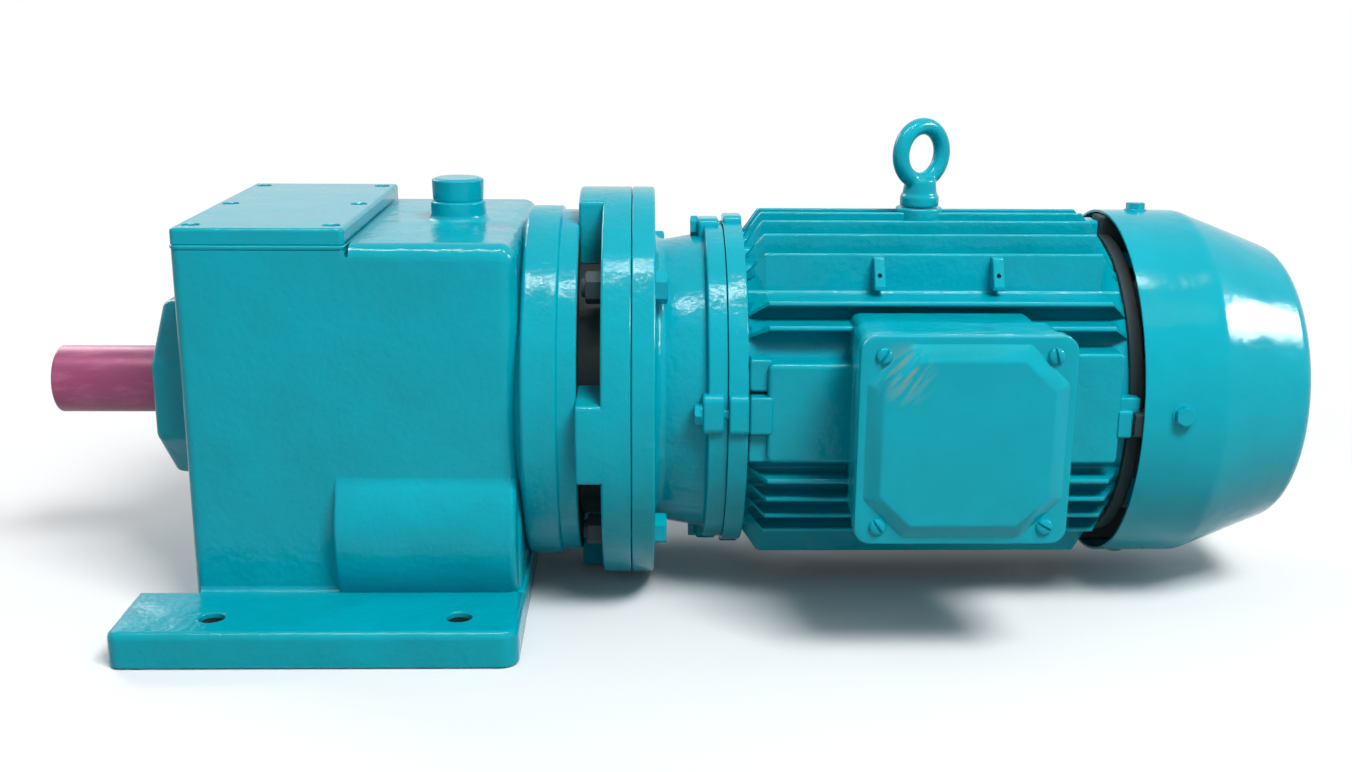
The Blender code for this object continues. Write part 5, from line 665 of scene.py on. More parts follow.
def foot_rail(sizes, sign):
    """One foot: a rounded slab with two bolt holes, whose rims the paint has softened."""
    outer, inner, front, rear = 0.2276 * sign, 0.139 * sign, -0.177, 0.150
    corners = [(front, outer), (rear, outer), (rear, inner), (front, inner)]
    radii = [sizes.foot_corner, 0.014, 0, 0.003]
    if sign > 0:
        corners.reverse()
        radii.reverse()
    rail = slab(outline(corners, radii), 0.0, FOOT_TOP, sizes.foot_edge, "Z", base=0.0015)
    hole = [
        (-0.01, 0), (-0.01, 0.0100), (0.0285, 0.0100), (0.0300, 0.0106), (0.0312, 0.0122), (0.05, 0.0122),
        (0.05, 0),
    ]
    holes = [revolve(hole, (x, FOOT_HOLE_Y * sign), 40, "Z", closed=False) for x in FOOT_HOLE_X]
    return carved([rail], holes)


def bulge_blend(sizes):
    """The concave fillet before the layshaft bulge, as deep as the bulge stands out at each height."""
    z = np.linspace(0.0290, 0.1275, 28)[:, None]
    depth = np.sqrt(np.maximum(BULGE_RADIUS**2 - (z - LAYSHAFT[1]) ** 2, 0)) - (WALL + LAYSHAFT[0])
    radius = np.maximum(sizes.bulge_fillet * depth, 0.0004)
    a = np.linspace(0, math.pi / 2, 9)[None]
    x = -0.0055 - radius * (1 - np.sin(a))
    y = -WALL - radius * (1 - np.cos(a))
    inside_x, inside_y = x[:, -1:] + 4 * OVERLAP, y[:, :1] + 4 * OVERLAP
    x = np.hstack([x, inside_x, inside_x, x[:, :1]])
    y = np.hstack([y, y[:, -1:], inside_y, inside_y])
    return grid(np.stack([x, y, np.broadcast_to(z, x.shape)], -1), caps=True)


def bulge_top_fillet():
    """The fillet above the layshaft bulge: an arc that touches the wall and the bulge's cylinder, along X."""
    wall, radius = -WALL, 0.016
    across = wall - radius
    up = LAYSHAFT[1] + math.sqrt((BULGE_RADIUS + radius) ** 2 - (across - LAYSHAFT[0]) ** 2)
    a = np.linspace(0, math.atan2(LAYSHAFT[1] - up, LAYSHAFT[0] - across), 9)
    arc = np.stack([across + radius * np.cos(a), up + radius * np.sin(a)], 1)
    inside = wall + 4 * OVERLAP
    section = np.vstack([arc, [(inside, arc[-1, 1]), (inside, up)]])
    ends = np.array([-0.0050, 0.1400])[:, None]
    return grid(place(section[None, :, 0], section[None, :, 1], ends, "X"), caps=True)


def octagon(apothem, radius):
    """A rounded octagon in the YZ plane, with level flats above and below the shaft line."""
    a = np.radians(22.5 + 45 * np.arange(8))
    reach = apothem / math.cos(math.pi / 8)
    corners = np.stack([SHAFT[0] + reach * np.cos(a), SHAFT[1] + reach * np.sin(a)], 1)
    return outline(corners, radius)


def output_boss(sizes):
    """The boss round the output shaft: an octagon that widens to its root and flares into the front face."""
    profile = rounded(
        [(-0.030, -0.172), (0.0, -0.172), (0.005, -0.1262), (0.020, -0.1258)],
        [0, 0.007, 0.010, 0],
        closed=False,
        steps=6,
    )
    boss = loft(octagon(0.078, 0.010), [*profile, (0.020, -0.1200)], "X")
    recess = [(-0.18, 0), (-0.18, 0.0515), (-0.1725, 0.0515), (-0.1705, 0.050), (-0.158, 0.050), (-0.158, 0)]
    return carved([boss], [revolve(recess, steps=96, closed=False)])


def neck_and_flange(sizes):
    """The turned neck behind the box, the flange it carries and the four ribs between them."""
    edge = sizes.flange_edge
    neck = turned_ring(
        [
            (0.128, 0.112), (0.128, 0.126), (0.1420, 0.1345), (0.1500, 0.158), (0.178, 0.158),
            (0.1797, 0.1545), (0.1950, 0.1545), (0.1950, 0.112),
        ],
        [0, 0, 0.004, 0.004, 0.0022, 0.0008, 0.0018, 0],
    )
    flange = turned_ring(
        [(0.2150, 0.112), (0.2150, FLANGE_RADIUS), (0.2398, FLANGE_RADIUS), (0.2398, 0.112)],
        [0, edge, edge * 0.5, 0],
    )
    half = 0.034
    a = np.linspace(math.asin(half / FLANGE_RADIUS), -math.asin(half / FLANGE_RADIUS), 13)
    arc = np.stack([FLANGE_RADIUS * np.sin(a), SHAFT[1] + FLANGE_RADIUS * np.cos(a)], 1)
    corners = np.vstack([[(-half, SHAFT[1] + 0.118), (half, SHAFT[1] + 0.118)], arc])
    rib = slab(outline(corners, [0, 0, 0.004, *[0] * 11, 0.004]), 0.2170, 0.1945, edge, "X")
    return [neck, flange, *at_quarters(rib, RIB_TURN)]


def paint_bead(shape):
    """The bead of paint that closes the joint under the cover: a rounded ring along the block's outline."""
    section = [
        (-0.0012, 0.3225), (0.0002, 0.3228), (0.0010, 0.3240), (0.0009, 0.3254), (-0.0001, 0.3263),
        (-0.0012, 0.3264),
    ]
    rows = [place(*outline_row(shape, grow, 6).T, height, "Z") for grow, height in section]
    return grid(np.stack(rows), wrap_rows=True)


def gear_housing_shapes(sizes):
    """The whole housing: front and rear block, feet, boss, bulge, neck, flange and the fillets between."""
    front = box_outline((-0.1285, -WALL), (0.0100, WALL), [sizes.front_edge, 0.003, 0.003, sizes.front_edge])
    rear = box_outline((-0.013, -0.1416), (0.147, 0.1416), sizes.rear_edge)
    # The open joint where the cover ends against the rear block, which no paint fills
    joint = slab(box_outline((0.0106, -0.150), (0.0136, 0.150), 0.0004), 0.317, 0.335, 0.0002, "Z")
    shapes = [
        slab(front, 0.012, 0.3235, 0.0022, "Z"),
        paint_bead(front),
        carved([slab(rear, 0.012, 0.3270, sizes.rear_edge, "Z")], [joint]),
        slab(box_outline((-0.1234, -0.1400), (0.1496, 0.1400), 0.004), 0.0004, 0.0300, 0.002, "Z"),
        foot_rail(sizes, -1),
        foot_rail(sizes, 1),
        output_boss(sizes),
        bulge_blend(sizes),
        bulge_top_fillet(),
        *neck_and_flange(sizes),
    ]
    for sign in (-1, 1):
        front_end, rear_end = (-0.1235, sign * WALL, FOOT_TOP), (0.142, sign * WALL, FOOT_TOP)
        shapes.append(cove(front_end, rear_end, (0, sign, 0), (0, 0, 1), sizes.root_fillet))
    bulge = [(-0.006, 0), (-0.006, BULGE_RADIUS), (0.1445, BULGE_RADIUS), (0.1445, 0)]
    shapes.append(revolve(rounded(bulge, [0, 0.003, 0.006, 0], closed=False), LAYSHAFT, 96, closed=False))
    seat = [(0.318, 0), (0.318, 0.034), (0.3268, 0.034), (0.3272, 0.0242), (0.344, 0.0240), (0.344, 0)]
    seat = rounded(seat, [0, 0, 0, 0.006, 0.002, 0], closed=False)
    shapes.append(revolve(seat, BREATHER_XY, 64, "Z", closed=False))
    return shapes


class GEARMOTOR_OT_housing(bpy.types.Operator):
    """Builds the cast gear housing: box, feet, output boss, layshaft bulge, neck and flange"""

    bl_idname = "gearmotor.housing"
    bl_label = "Gear Housing"
    bl_options = {"REGISTER", "UNDO"}

    def execute(self, context):
        sizes = context.scene.gear_motor_sizes
        made = mesh_object("gear_housing_casting", gear_housing_shapes(sizes))
        finish(made, enamel_on_sand_casting, "gear_housing")
        # Painted shade: the tube and wall inside the flange pockets are near black so that the pockets look
        # deep and dark.
        tube = turned_ring([(0.190, 0.110), (0.190, 0.122), (0.218, 0.122), (0.218, 0.110)], 0)
        wall = turned_ring([(0.1945, 0.118), (0.1945, 0.1530), (0.1954, 0.1530), (0.1954, 0.118)], 0)
        made = mesh_object("flange_pocket_shade_walls", [tube, wall])
        finish(made, painted_shade_near_black, "gear_housing")
        # Painted shade: near black liners in the foot holes darken them as their shade would.
        bore = [(0.0006, 0.0090), (0.0006, 0.0101), (0.0262, 0.0101), (0.0262, 0.0096)]
        bores = [revolve(bore, (x, y), 40, "Z") for x in FOOT_HOLE_X for y in (-FOOT_HOLE_Y, FOOT_HOLE_Y)]
        finish(mesh_object("foot_hole_shade_liners", bores), painted_shade_near_black, "gear_housing")
        return {"FINISHED"}


class GEARMOTOR_OT_cover(bpy.types.Operator):
    """Builds the inspection cover and its six recessed socket screws"""

    bl_idname = "gearmotor.cover"
    bl_label = "Inspection Cover"
    bl_options = {"REGISTER", "UNDO"}

    def execute(self, context):
        sizes = context.scene.gear_motor_sizes
        low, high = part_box("inspection_cover")
        plate = slab(box_outline(low.xy, high.xy, 0.0045), low.z, high.z, sizes.cover_edge, "Z", base=0.001)
        places = [(x, y) for x in (-0.1145, -0.0015) for y in (-0.1225, 0.0, 0.1225)]
        floor, radius = high.z - 0.0042, sizes.cover_recess
        mouth, above = radius + 0.0016, high.z + 3 * OVERLAP
        section = [(floor, 0), (floor, radius), (high.z - 0.0008, radius), (high.z + 0.001, mouth)]
        section += [(above, mouth), (above, 0)]
        recesses = [revolve(section, place_of, 36, "Z", closed=False) for place_of in places]
        made = carve(mesh_object("inspection_cover_plate", [plate]), recesses)
        finish(made, enamel_on_machined_iron, "inspection_cover")
        head = driven_head(0.0064, 0.0036, "socket", 0.0034, 0.0031, (18, 72))
        screws = [aim(head, (x, y, floor + 0.0004), (0, 0, 1)) for x, y in places]
        finish(mesh_object("cover_screws", screws), enamel_on_machined_iron)
        return {"FINISHED"}


class GEARMOTOR_OT_plugs(bpy.types.Operator):
    """Builds the breather cap and the two oil plugs"""

    bl_idname = "gearmotor.plugs"
    bl_label = "Breather and Oil Plugs"
    bl_options = {"REGISTER", "UNDO"}

    def execute(self, context):
        cap = turned_knob(
            [
                (0.3435, 0), (0.3435, 0.0215), (0.3460, 0.0222), (0.3625, 0.0228), (0.3640, 0.0190),
                (0.3640, 0),
            ],
            [0, 0, 0.001, 0.0016, 0.002, 0],
            centre=BREATHER_XY,
            steps=64,
            axis="Z",
        )
        finish(mesh_object("breather_cap", [cap]), enamel_on_machined_iron, "breather_plug")
        for name in ("oil_drain_plug", "oil_level_plug"):
            low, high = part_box(name)
            foot = ((low.x + high.x) / 2, 0.1419, (low.z + high.z) / 2)
            head = aim(hexagon_head(0.022, 0.0078, flange=0.0132), foot, (0, 1, 0))
            made = mesh_object(f"{name}_head", [head])
            finish(made, enamel_on_machined_iron, name)
        return {"FINISHED"}


class GEARMOTOR_OT_output_shaft(bpy.types.Operator):
    """Builds the output shaft with its keyway and centre hole, and the key that lies in it"""

    bl_idname = "gearmotor.output_shaft"
    bl_label = "Output Shaft"
    bl_options = {"REGISTER", "UNDO"}

    def execute(self, context):
        low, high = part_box("output_shaft")
        end = low.x
        profile = rounded(
            [
                (end + 0.042, 0), (end + 0.040, 0.0068), (end + 0.006, 0.0068), (end, 0.0105), (end, 0.030),
                (end + 0.120, 0.030), (end + 0.1206, 0.0325), (-0.1207, 0.0325), (-0.1207, 0.040),
                (-0.0853, 0.040), (-0.0853, 0.035), (-0.0262, 0.035), (-0.0262, 0.030), (high.x, 0.030),
                (high.x, 0),
            ],
            [0, 0, 0, 0, 0.0022, 0.0006, 0.001, 0, 0.001, 0, 0, 0, 0, 0.001, 0],
            closed=False,
            steps=4,
        )
        shaft = mesh_object("output_shaft_turned", [revolve(profile, steps=112, closed=False)])
        turn = math.radians(-130)
        half = 0.00915
        slot = slab(
            box_outline((-0.2676, -half), (-0.1670, half), half - 0.0002), 0.2028, 0.2200, 0.0002, "Z"
        )
        wheel_slot = slab(
            box_outline((-0.0805, -0.0083), (-0.0295, 0.0083), 0.0004), 0.2087, 0.2300, 0.0002, "Z"
        )
        carve(shaft, [turn_x(slot, turn)])
        carve(shaft, [wheel_slot])
        finish(shaft, lacquer_on_ground_steel, "output_shaft", slot="shaft_coating", body="output", sharp=32)
        half = 0.0089
        key = slab(box_outline((-0.2673, -half), (-0.1673, half), half - 0.0002), 0.2034, 0.2139, 0.0006, "Z")
        made = mesh_object("shaft_key_bar", [turn_x(key, turn)])
        finish(made, lacquer_on_ground_steel, "shaft_key", slot="gear_steel", body="output", sharp=32)
        return {"FINISHED"}


class GEARMOTOR_OT_adapter(bpy.types.Operator):
    """Builds the cast adapter between flange and motor, its lugs and their bolts"""

    bl_idname = "gearmotor.adapter"
    bl_label = "Motor Adapter"
    bl_options = {"REGISTER", "UNDO"}

    def execute(self, context):
        sizes = context.scene.gear_motor_sizes
        edge = sizes.flange_edge
        body = turned_ring(
            [
                (0.2355, 0.108), (0.2355, 0.1245), (0.2404, 0.1247), (0.2404, FLANGE_RADIUS),
                (0.2600, FLANGE_RADIUS), (0.2600, 0.1265), (0.3030, 0.134), (0.3036, 0.143), (0.3200, 0.143),
                (0.3200, 0.108),
            ],
            [0, 0, 0, edge * 0.5, edge, 0.008, 0.0022, 0.0022, 0.0006, 0],
        )
        lug = outline(
            [(-0.017, 0.302), (0.017, 0.302), (0.017, 0.3285), (-0.017, 0.3285)], [0, 0, 0.007, 0.007]
        )
        lug = slab(lug, 0.3165, 0.2985, 0.003, "X", base=0.0012)
        made = mesh_object("motor_adapter_casting", [body, *at_quarters(lug, LUG_TURN)])
        finish(made, enamel_on_sand_casting, "motor_adapter")
        height = SHAFT[1] + LUG_BOLT_CIRCLE
        head = aim(hexagon_head(sizes.lug_bolt, 0.0066, flange=0.0092), (0.2985, 0, height), (-1, 0, 0))
        stem = [(0.3160, 0), (0.3160, 0.0049), (0.3212, 0.0049), (0.3212, 0)]
        stem = revolve(stem, (0, height), 24, closed=False)
        made = mesh_object("adapter_lug_bolts", at_quarters(head, LUG_TURN) + at_quarters(stem, LUG_TURN))
        finish(made, enamel_on_machined_iron)
        return {"FINISHED"}


class GEARMOTOR_OT_flange_bolts(bpy.types.Operator):
    """Builds the four flange bolts and the nuts that sit in the flange's pockets"""

    bl_idname = "gearmotor.flange_bolts"
    bl_label = "Flange Bolts"
    bl_options = {"REGISTER", "UNDO"}

    def execute(self, context):
        sizes = context.scene.gear_motor_sizes
        for i, turn in enumerate(DIAGONALS):
            y, z = -FLANGE_BOLT_CIRCLE * math.sin(turn), SHAFT[1] + FLANGE_BOLT_CIRCLE * math.cos(turn)
            head = aim(hexagon_head(sizes.flange_bolt, 0.0100), (0.2602, y, z), (1, 0, 0))
            shank = revolve(
                [(0.2300, 0), (0.2300, 0.0080), (0.2625, 0.0080), (0.2625, 0)], (y, z), 32, closed=False
            )
            node_name = f"flange_bolt_{i + 1}"
            made = mesh_object(f"{node_name}_head", [head, shank])
            finish(made, enamel_on_machined_iron, node_name, sharp=25)
            # Painted shade: the nuts in the flange pockets get the near black coat, so that the pockets stay
            # dark.
            nut = aim(hexagon_head(sizes.flange_bolt, 0.0130), (0.2149, y, z), (-1, 0, 0))
            thread = [(0.1985, 0), (0.1985, 0.0066), (0.2000, 0.0080), (0.2160, 0.0080), (0.2160, 0)]
            made = mesh_object(f"flange_nut_{i + 1}", [nut, revolve(thread, (y, z), 32, closed=False)])
            finish(made, painted_shade_near_black, node_name, sharp=25)
        return {"FINISHED"}


# Motor


class GEARMOTOR_OT_end_shields(bpy.types.Operator):
    """Builds the motor's two end shields with their lugs"""

    bl_idname = "gearmotor.end_shields"
    bl_label = "End Shields"
    bl_options = {"REGISTER", "UNDO"}

    def execute(self, context):
        ring = turned_ring(
            [(0.3203, 0.030), (0.3203, 0.146), (0.3369, 0.146), (0.3369, 0.030)], [0, 0.0007, 0.0015, 0]
        )
        lug = outline(
            [(-0.017, 0.300), (0.017, 0.300), (0.017, 0.3312), (-0.017, 0.3312)], [0, 0, 0.006, 0.006]
        )
        lug = slab(lug, 0.3369, 0.3206, 0.002, "X", base=0.001)
        made = mesh_object("drive_end_shield_casting", [ring, *at_quarters(lug, LUG_TURN)])
        finish(made, enamel_on_sand_casting, "drive_end_shield")
        # Painted shade: the rear shield is near black, so that the gap between the frame and the cowl rim
        # looks dark.
        shield = turned_ring(
            [
                (0.6440, 0.0428), (0.6440, 0.0528), (0.6553, 0.0560), (0.6553, 0.137), (0.6670, 0.137),
                (0.6735, 0.0530), (0.6735, 0.030), (0.6675, 0.030), (0.6675, 0.0428),
            ],
            [0, 0, 0, 0.001, 0.003, 0.002, 0, 0, 0],
        )
        lug = box_outline((-0.010, 0.300), (0.010, 0.3326), 0.002)
        lug = slab(lug, 0.6556, 0.7060, 0.001, "X")
        made = mesh_object("rear_end_shield_casting", [shield, *at_quarters(lug)])
        finish(made, painted_shade_near_black, "non_drive_end_shield")
        return {"FINISHED"}


def fin_corners():
    """Four (y, z) corners of each fin, round the shaft line.

    A corner of radius r, at a distance d across, stands the square root of r squared less d squared out.
    """
    half, up_and_down, near_and_far = 0.0021, 0.024, 0.0182
    fins = (
        (up_and_down * (np.arange(8) - 3.5), (1, 0), (0, 1)),
        (up_and_down * (np.arange(6) - 2.5), (1, 0), (0, -1)),
        (0.096 - near_and_far * np.array([0, 1, 8, 9, 10, 11]), (0, 1), (-1, 0)),
        (0.096 - near_and_far * np.arange(12), (0, 1), (1, 0)),
    )
    radius = np.array([SHELL_RADIUS, FIN_RADIUS, FIN_RADIUS, SHELL_RADIUS])
    quads = []
    for middle, along, out in fins:
        # The flank that comes first on the way round the section, which turns from +Z towards -Y
        side = half if along[0] * out[1] - along[1] * out[0] > 0 else -half
        across = middle[:, None] + np.array([side, side, -side, -side])
        reach = np.sqrt(radius**2 - across**2)
        quads.append(across[..., None] * np.array(along) + reach[..., None] * np.array(out))
    quads = np.concatenate(quads)
    return quads[np.argsort(np.arctan2(-quads[:, 0, 0], quads[:, 0, 1]) % (2 * math.pi))]


def fin_section(sizes):
    """The whole section as one dense loop: fins with round tips and filleted roots, and the shell between."""
    quads = fin_corners()
    corners, radii = [], []
    for quad, following in zip(quads, np.roll(quads, -1, 0)):
        end = math.atan2(-quad[3, 0], quad[3, 1])
        gap = (math.atan2(-following[0, 0], following[0, 1]) - end) % (2 * math.pi)
        count = int(gap / math.radians(4))
        a = end + gap * np.arange(1, count) / max(count, 1)
        corners += [quad, SHELL_RADIUS * np.stack([-np.sin(a), np.cos(a)], 1)]
        radii += [sizes.fin_root, sizes.fin_tip, sizes.fin_tip, sizes.fin_root, *np.zeros(len(a))]
    corners = np.concatenate(corners)
    reach = np.linalg.norm(corners - np.roll(corners, 1, 0), axis=1)
    room = np.minimum(reach, np.roll(reach, -1)) * 0.42
    return rounded(corners, np.minimum(radii, room), steps=4)


def finned_barrel(sizes):
    """The section carried along X. At each station no point stands further out than the slope allows."""
    loop = fin_section(sizes)
    radius = np.linalg.norm(loop, axis=1)
    slope = sizes.fin_slope
    front, rear = BARREL_ENDS
    ramp = np.array([0, 0.12, 0.3, 0.5, 0.7, 0.86, 0.95, 1.0])
    x = np.concatenate(
        [front + slope * ramp, np.linspace(front + slope, rear - slope, 12)[1:-1], rear - slope * ramp[::-1]]
    )
    share = np.clip(np.minimum(x - front, rear - x) / slope, 0, 1)
    low, high = SHELL_RADIUS + 0.0012, FIN_RADIUS + 0.0008
    limit = low + (high - low) * share
    scale = np.minimum(1, limit[:, None] / radius[None])
    y = SHAFT[0] + loop[None, :, 0] * scale
    z = SHAFT[1] + loop[None, :, 1] * scale
    return grid(place(y, z, x[:, None], "X"), caps=True)


# Flat pads on the near side: lowest and highest x, lowest and highest z, the face's distance out, edge radius
PADS = (
    # Under the terminal box, then behind and before it
    (0.4215, 0.5705, 0.1185, 0.2675, 0.1758, 0.008),
    (0.5600, 0.6445, 0.1460, 0.2400, 0.1480, 0.004),
    (0.3520, 0.4310, 0.1460, 0.2310, 0.1478, 0.006),
    # At the frame's front end and at its rear end
    (0.3375, 0.3570, 0.1710, 0.2030, 0.1490, 0.003),
    (0.6400, 0.6612, 0.1740, 0.2020, 0.1450, 0.002),
    # Below and above the one at the front end
    (0.3375, 0.3560, 0.1450, 0.1700, 0.1410, 0.003),
    (0.3375, 0.3560, 0.2060, 0.2330, 0.1410, 0.003),
)


def pad(low_x, high_x, low_z, high_z, face, edge):
    """A flat pad cast on the near side of the frame, with a rounded front rim and its foot in the shell."""
    foot = 0.118
    return slab(box_outline((low_x, low_z), (high_x, high_z), edge), -foot, -face, edge * 0.75, "Y")


class GEARMOTOR_OT_motor_frame(bpy.types.Operator):
    """Builds the finned motor frame with its pads, lugs and boss"""

    bl_idname = "gearmotor.motor_frame"
    bl_label = "Motor Frame"
    bl_options = {"REGISTER", "UNDO"}

    def execute(self, context):
        sizes = context.scene.gear_motor_sizes
        shapes = [finned_barrel(sizes), *[pad(*row) for row in PADS]]
        lug = slab(box_outline((-0.012, 0.300), (0.012, 0.3290), 0.003), 0.6430, 0.6549, 0.002, "X")
        shapes += at_quarters(lug)
        boss = [(0.300, 0), (0.300, 0.0210), (0.3250, 0.0215), (0.3396, 0.0205), (0.3396, 0)]
        shapes.append(
            turned_knob(boss, [0, 0, 0.002, 0.002, 0], centre=(FRAME_CENTRE_X, 0.0), steps=64, axis="Z")
        )
        ear = outline(
            [(-0.1045, 0.2835), (-0.083, 0.2835), (-0.083, 0.3095), (-0.0930, 0.3095), (-0.1045, 0.2870)],
            [0.001, 0, 0, 0.003, 0.002],
        )
        for x in (0.4475, 0.5475):
            hole = revolve(
                [(-0.12, 0), (-0.12, 0.0019), (-0.09, 0.0019), (-0.09, 0)], (x, 0.2955), 20, "Y", closed=False
            )
            shapes.append(carved([slab(ear, x + 0.0045, x - 0.0045, 0.0014, "X")], [hole]))
        finish(mesh_object("motor_frame_casting", shapes), enamel_on_sand_casting, "motor_frame", sharp=34)
        return {"FINISHED"}


class GEARMOTOR_OT_fan_cowl(bpy.types.Operator):
    """Builds the pressed fan cowl with its grille, and the four screws that hold it"""

    bl_idname = "gearmotor.fan_cowl"
    bl_label = "Fan Cowl"
    bl_options = {"REGISTER", "UNDO"}

    def execute(self, context):
        sizes = context.scene.gear_motor_sizes
        low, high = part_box("fan_cowl")
        rim, end, sheet = low.x, high.x, sizes.cowl_sheet
        wall = rounded(
            [
                (end, 0.0), (end, 0.1215), (COWL_BEND, COWL_RADIUS), (rim, COWL_RADIUS),
                (rim, COWL_RADIUS - sheet), (COWL_BEND - sheet / 2, COWL_RADIUS - sheet),
                (end - sheet, 0.1215 - sheet), (end - sheet, 0.0),
            ],
            [0, sizes.cowl_end, sizes.cowl_shoulder, 0, 0, sizes.cowl_shoulder, sizes.cowl_end - sheet, 0],
            closed=False,
            steps=8,
        )
        cowl = mesh_object("fan_cowl_pressing", [revolve(wall, steps=144, closed=False)])
        slots = []
        for inside, outside in ((0.028, 0.052), (0.060, 0.090)):
            half = math.pi / sizes.grille_bars - 0.0032 / ((inside + outside) / 2)
            for bar in range(sizes.grille_bars):
                a = 2 * math.pi * (bar + 0.5) / sizes.grille_bars + half * GRILLE_ARC
                arc = np.stack([-np.sin(a), np.cos(a)], 1)
                corners = np.vstack([outside * arc, inside * arc[::-1]]) + SHAFT
                radii = 0.003 * (np.abs(np.append(GRILLE_ARC, GRILLE_ARC)) == 1)
                slots.append(
                    loft(outline(corners, radii), [(0, end - 3 * sheet), (0, end + sheet)], "X", steps=3)
                )
        carve(cowl, slots)
        finish(cowl, enamel_on_pressed_steel, "fan_cowl", sharp=40)
        foot = (0.694, 0, SHAFT[1] + COWL_RADIUS - 0.0003)
        head = aim(hexagon_head(sizes.cowl_screw, 0.0072, flange=0.0098), foot, (0, 0, 1))
        made = mesh_object("cowl_screws", at_quarters(head, COWL_SCREW_TURN))
        finish(made, enamel_on_machined_iron, sharp=25)
        return {"FINISHED"}


class GEARMOTOR_OT_eye_bolt(bpy.types.Operator):
    """Builds the forged lifting eye bolt, whose ring runs into its collar without an edge"""

    bl_idname = "gearmotor.eye_bolt"
    bl_label = "Eye Bolt"
    bl_options = {"REGISTER", "UNDO"}

    def execute(self, context):
        middle, wire, seat = 0.3865, 0.0075, 0.3403
        a = np.linspace(0, 2 * math.pi, 28, endpoint=False)
        u, v = np.meshgrid(np.linspace(0, 2 * math.pi, 72, endpoint=False), a, indexing="ij")
        reach = 0.0240 + wire * np.cos(v)
        ring = np.stack([reach * np.cos(u), wire * np.sin(v), middle + reach * np.sin(u)], -1)
        stem = turned_knob(
            [
                (seat, 0), (seat, 0.0172), (seat + 0.009, 0.0172), (seat + 0.011, 0.0152),
                (seat + 0.025, 0.0135), (seat + 0.025, 0),
            ],
            [0, 0.001, 0.002, 0.002, 0.003, 0],
            centre=(0.0, 0.0),
            steps=64,
            axis="Z",
        )
        made = mesh_object("eye_bolt_forging", [grid(ring, wrap_rows=True), stem])
        remesh = made.modifiers.new("Forged", "REMESH")
        remesh.mode = "VOXEL"
        remesh.voxel_size = 0.0011
        smooth = made.modifiers.new("Blend", "SMOOTH")
        smooth.factor = 0.5
        smooth.iterations = 10
        settle(made)
        made.data.transform(
            Matrix.Translation((FRAME_CENTRE_X, 0, 0)) @ Matrix.Rotation(math.radians(32), 4, "Z")
        )
        finish(made, enamel_on_machined_iron, "eye_bolt", sharp=60)
        return {"FINISHED"}


# Terminal box


def lid_octagon(half, cut):
    """A square with cut corners, in the XZ plane round the box's centre."""
    ends = [(half, -half + cut), (half, half - cut), (half - cut, half), (-half + cut, half)]
    ends += [(-half, half - cut), (-half, -half + cut), (-half + cut, -half), (half - cut, -half)]
    return outline(np.array(ends) + BOX_CENTRE_XZ, 0.006)


class GEARMOTOR_OT_terminal_box(bpy.types.Operator):
    """Builds the terminal box, its lid with the raised panel, four slotted screws and two blanking plugs"""

    bl_idname = "gearmotor.terminal_box"
    bl_label = "Terminal Box"
    bl_options = {"REGISTER", "UNDO"}

    def execute(self, context):
        sizes = context.scene.gear_motor_sizes
        low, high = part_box("terminal_box")
        loop = box_outline((low.x, low.z), (high.x, high.z), sizes.box_corner)
        body = [
            (-0.0035, high.y), (-0.0030, -0.2195), (-0.0022, -0.2222), (0.0, -0.2236), (0.0, -0.2322),
            (-0.0008, low.y),
        ]
        made = mesh_object("terminal_box_casting", [loft(loop, body, "Y")])
        finish(made, enamel_on_sand_casting, "terminal_box")
        low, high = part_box("terminal_box_lid")
        face = high.y - 0.0050
        rim = [
            (-0.0008, high.y), (0, high.y - 0.0008), (0, face + 0.0020), (-0.0006, face + 0.0006),
            (-0.0022, face),
        ]
        rim = loft(loop, [*rim, (-0.010, face)], "Y")
        slope = sizes.lid_slope
        profile = rounded(
            [(0.0030, face + 0.0008), (0.0, face), (-slope, low.y), (-slope - 0.012, low.y)],
            [0, 0.003, 0.006, 0],
            closed=False,
            steps=6,
        )
        panel = loft(lid_octagon(0.077, 0.031), profile, "Y")
        made = mesh_object("terminal_box_lid_pressing", [rim, panel])
        finish(made, scuffed_enamel_on_lid, "terminal_box_lid")
        places = [
            (BOX_CENTRE_XZ[0] + i * 0.065, BOX_CENTRE_XZ[1] + j * 0.068) for i in (-1, 1) for j in (-1, 1)
        ]
        head = driven_head(0.0066, 0.0040, "slot", 0.0024, 0.0008)
        turns = np.radians((35, -30, 60, 15))
        screws = []
        for (x, z), turn in zip(places, turns):
            c, s = math.cos(turn), math.sin(turn)
            points = head[0] @ np.array([[c, s, 0], [-s, c, 0], [0, 0, 1]])
            screws.append(aim((points, head[1]), (x, face + 0.0002, z), (0, -1, 0)))
        finish(mesh_object("lid_screws", screws), enamel_on_machined_iron)
        for name in ("front_blanking_plug", "rear_blanking_plug"):
            low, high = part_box(name)
            foot = ((low.x + high.x) / 2, (low.y + high.y) / 2, BOX_CENTRE_XZ[1] - 0.0832)
            head = aim(hexagon_head(0.034, 0.0058, flange=0.0198), foot, (0, 0, -1))
            finish(mesh_object(f"{name}_head", [head]), enamel_on_machined_iron, name)
        return {"FINISHED"}


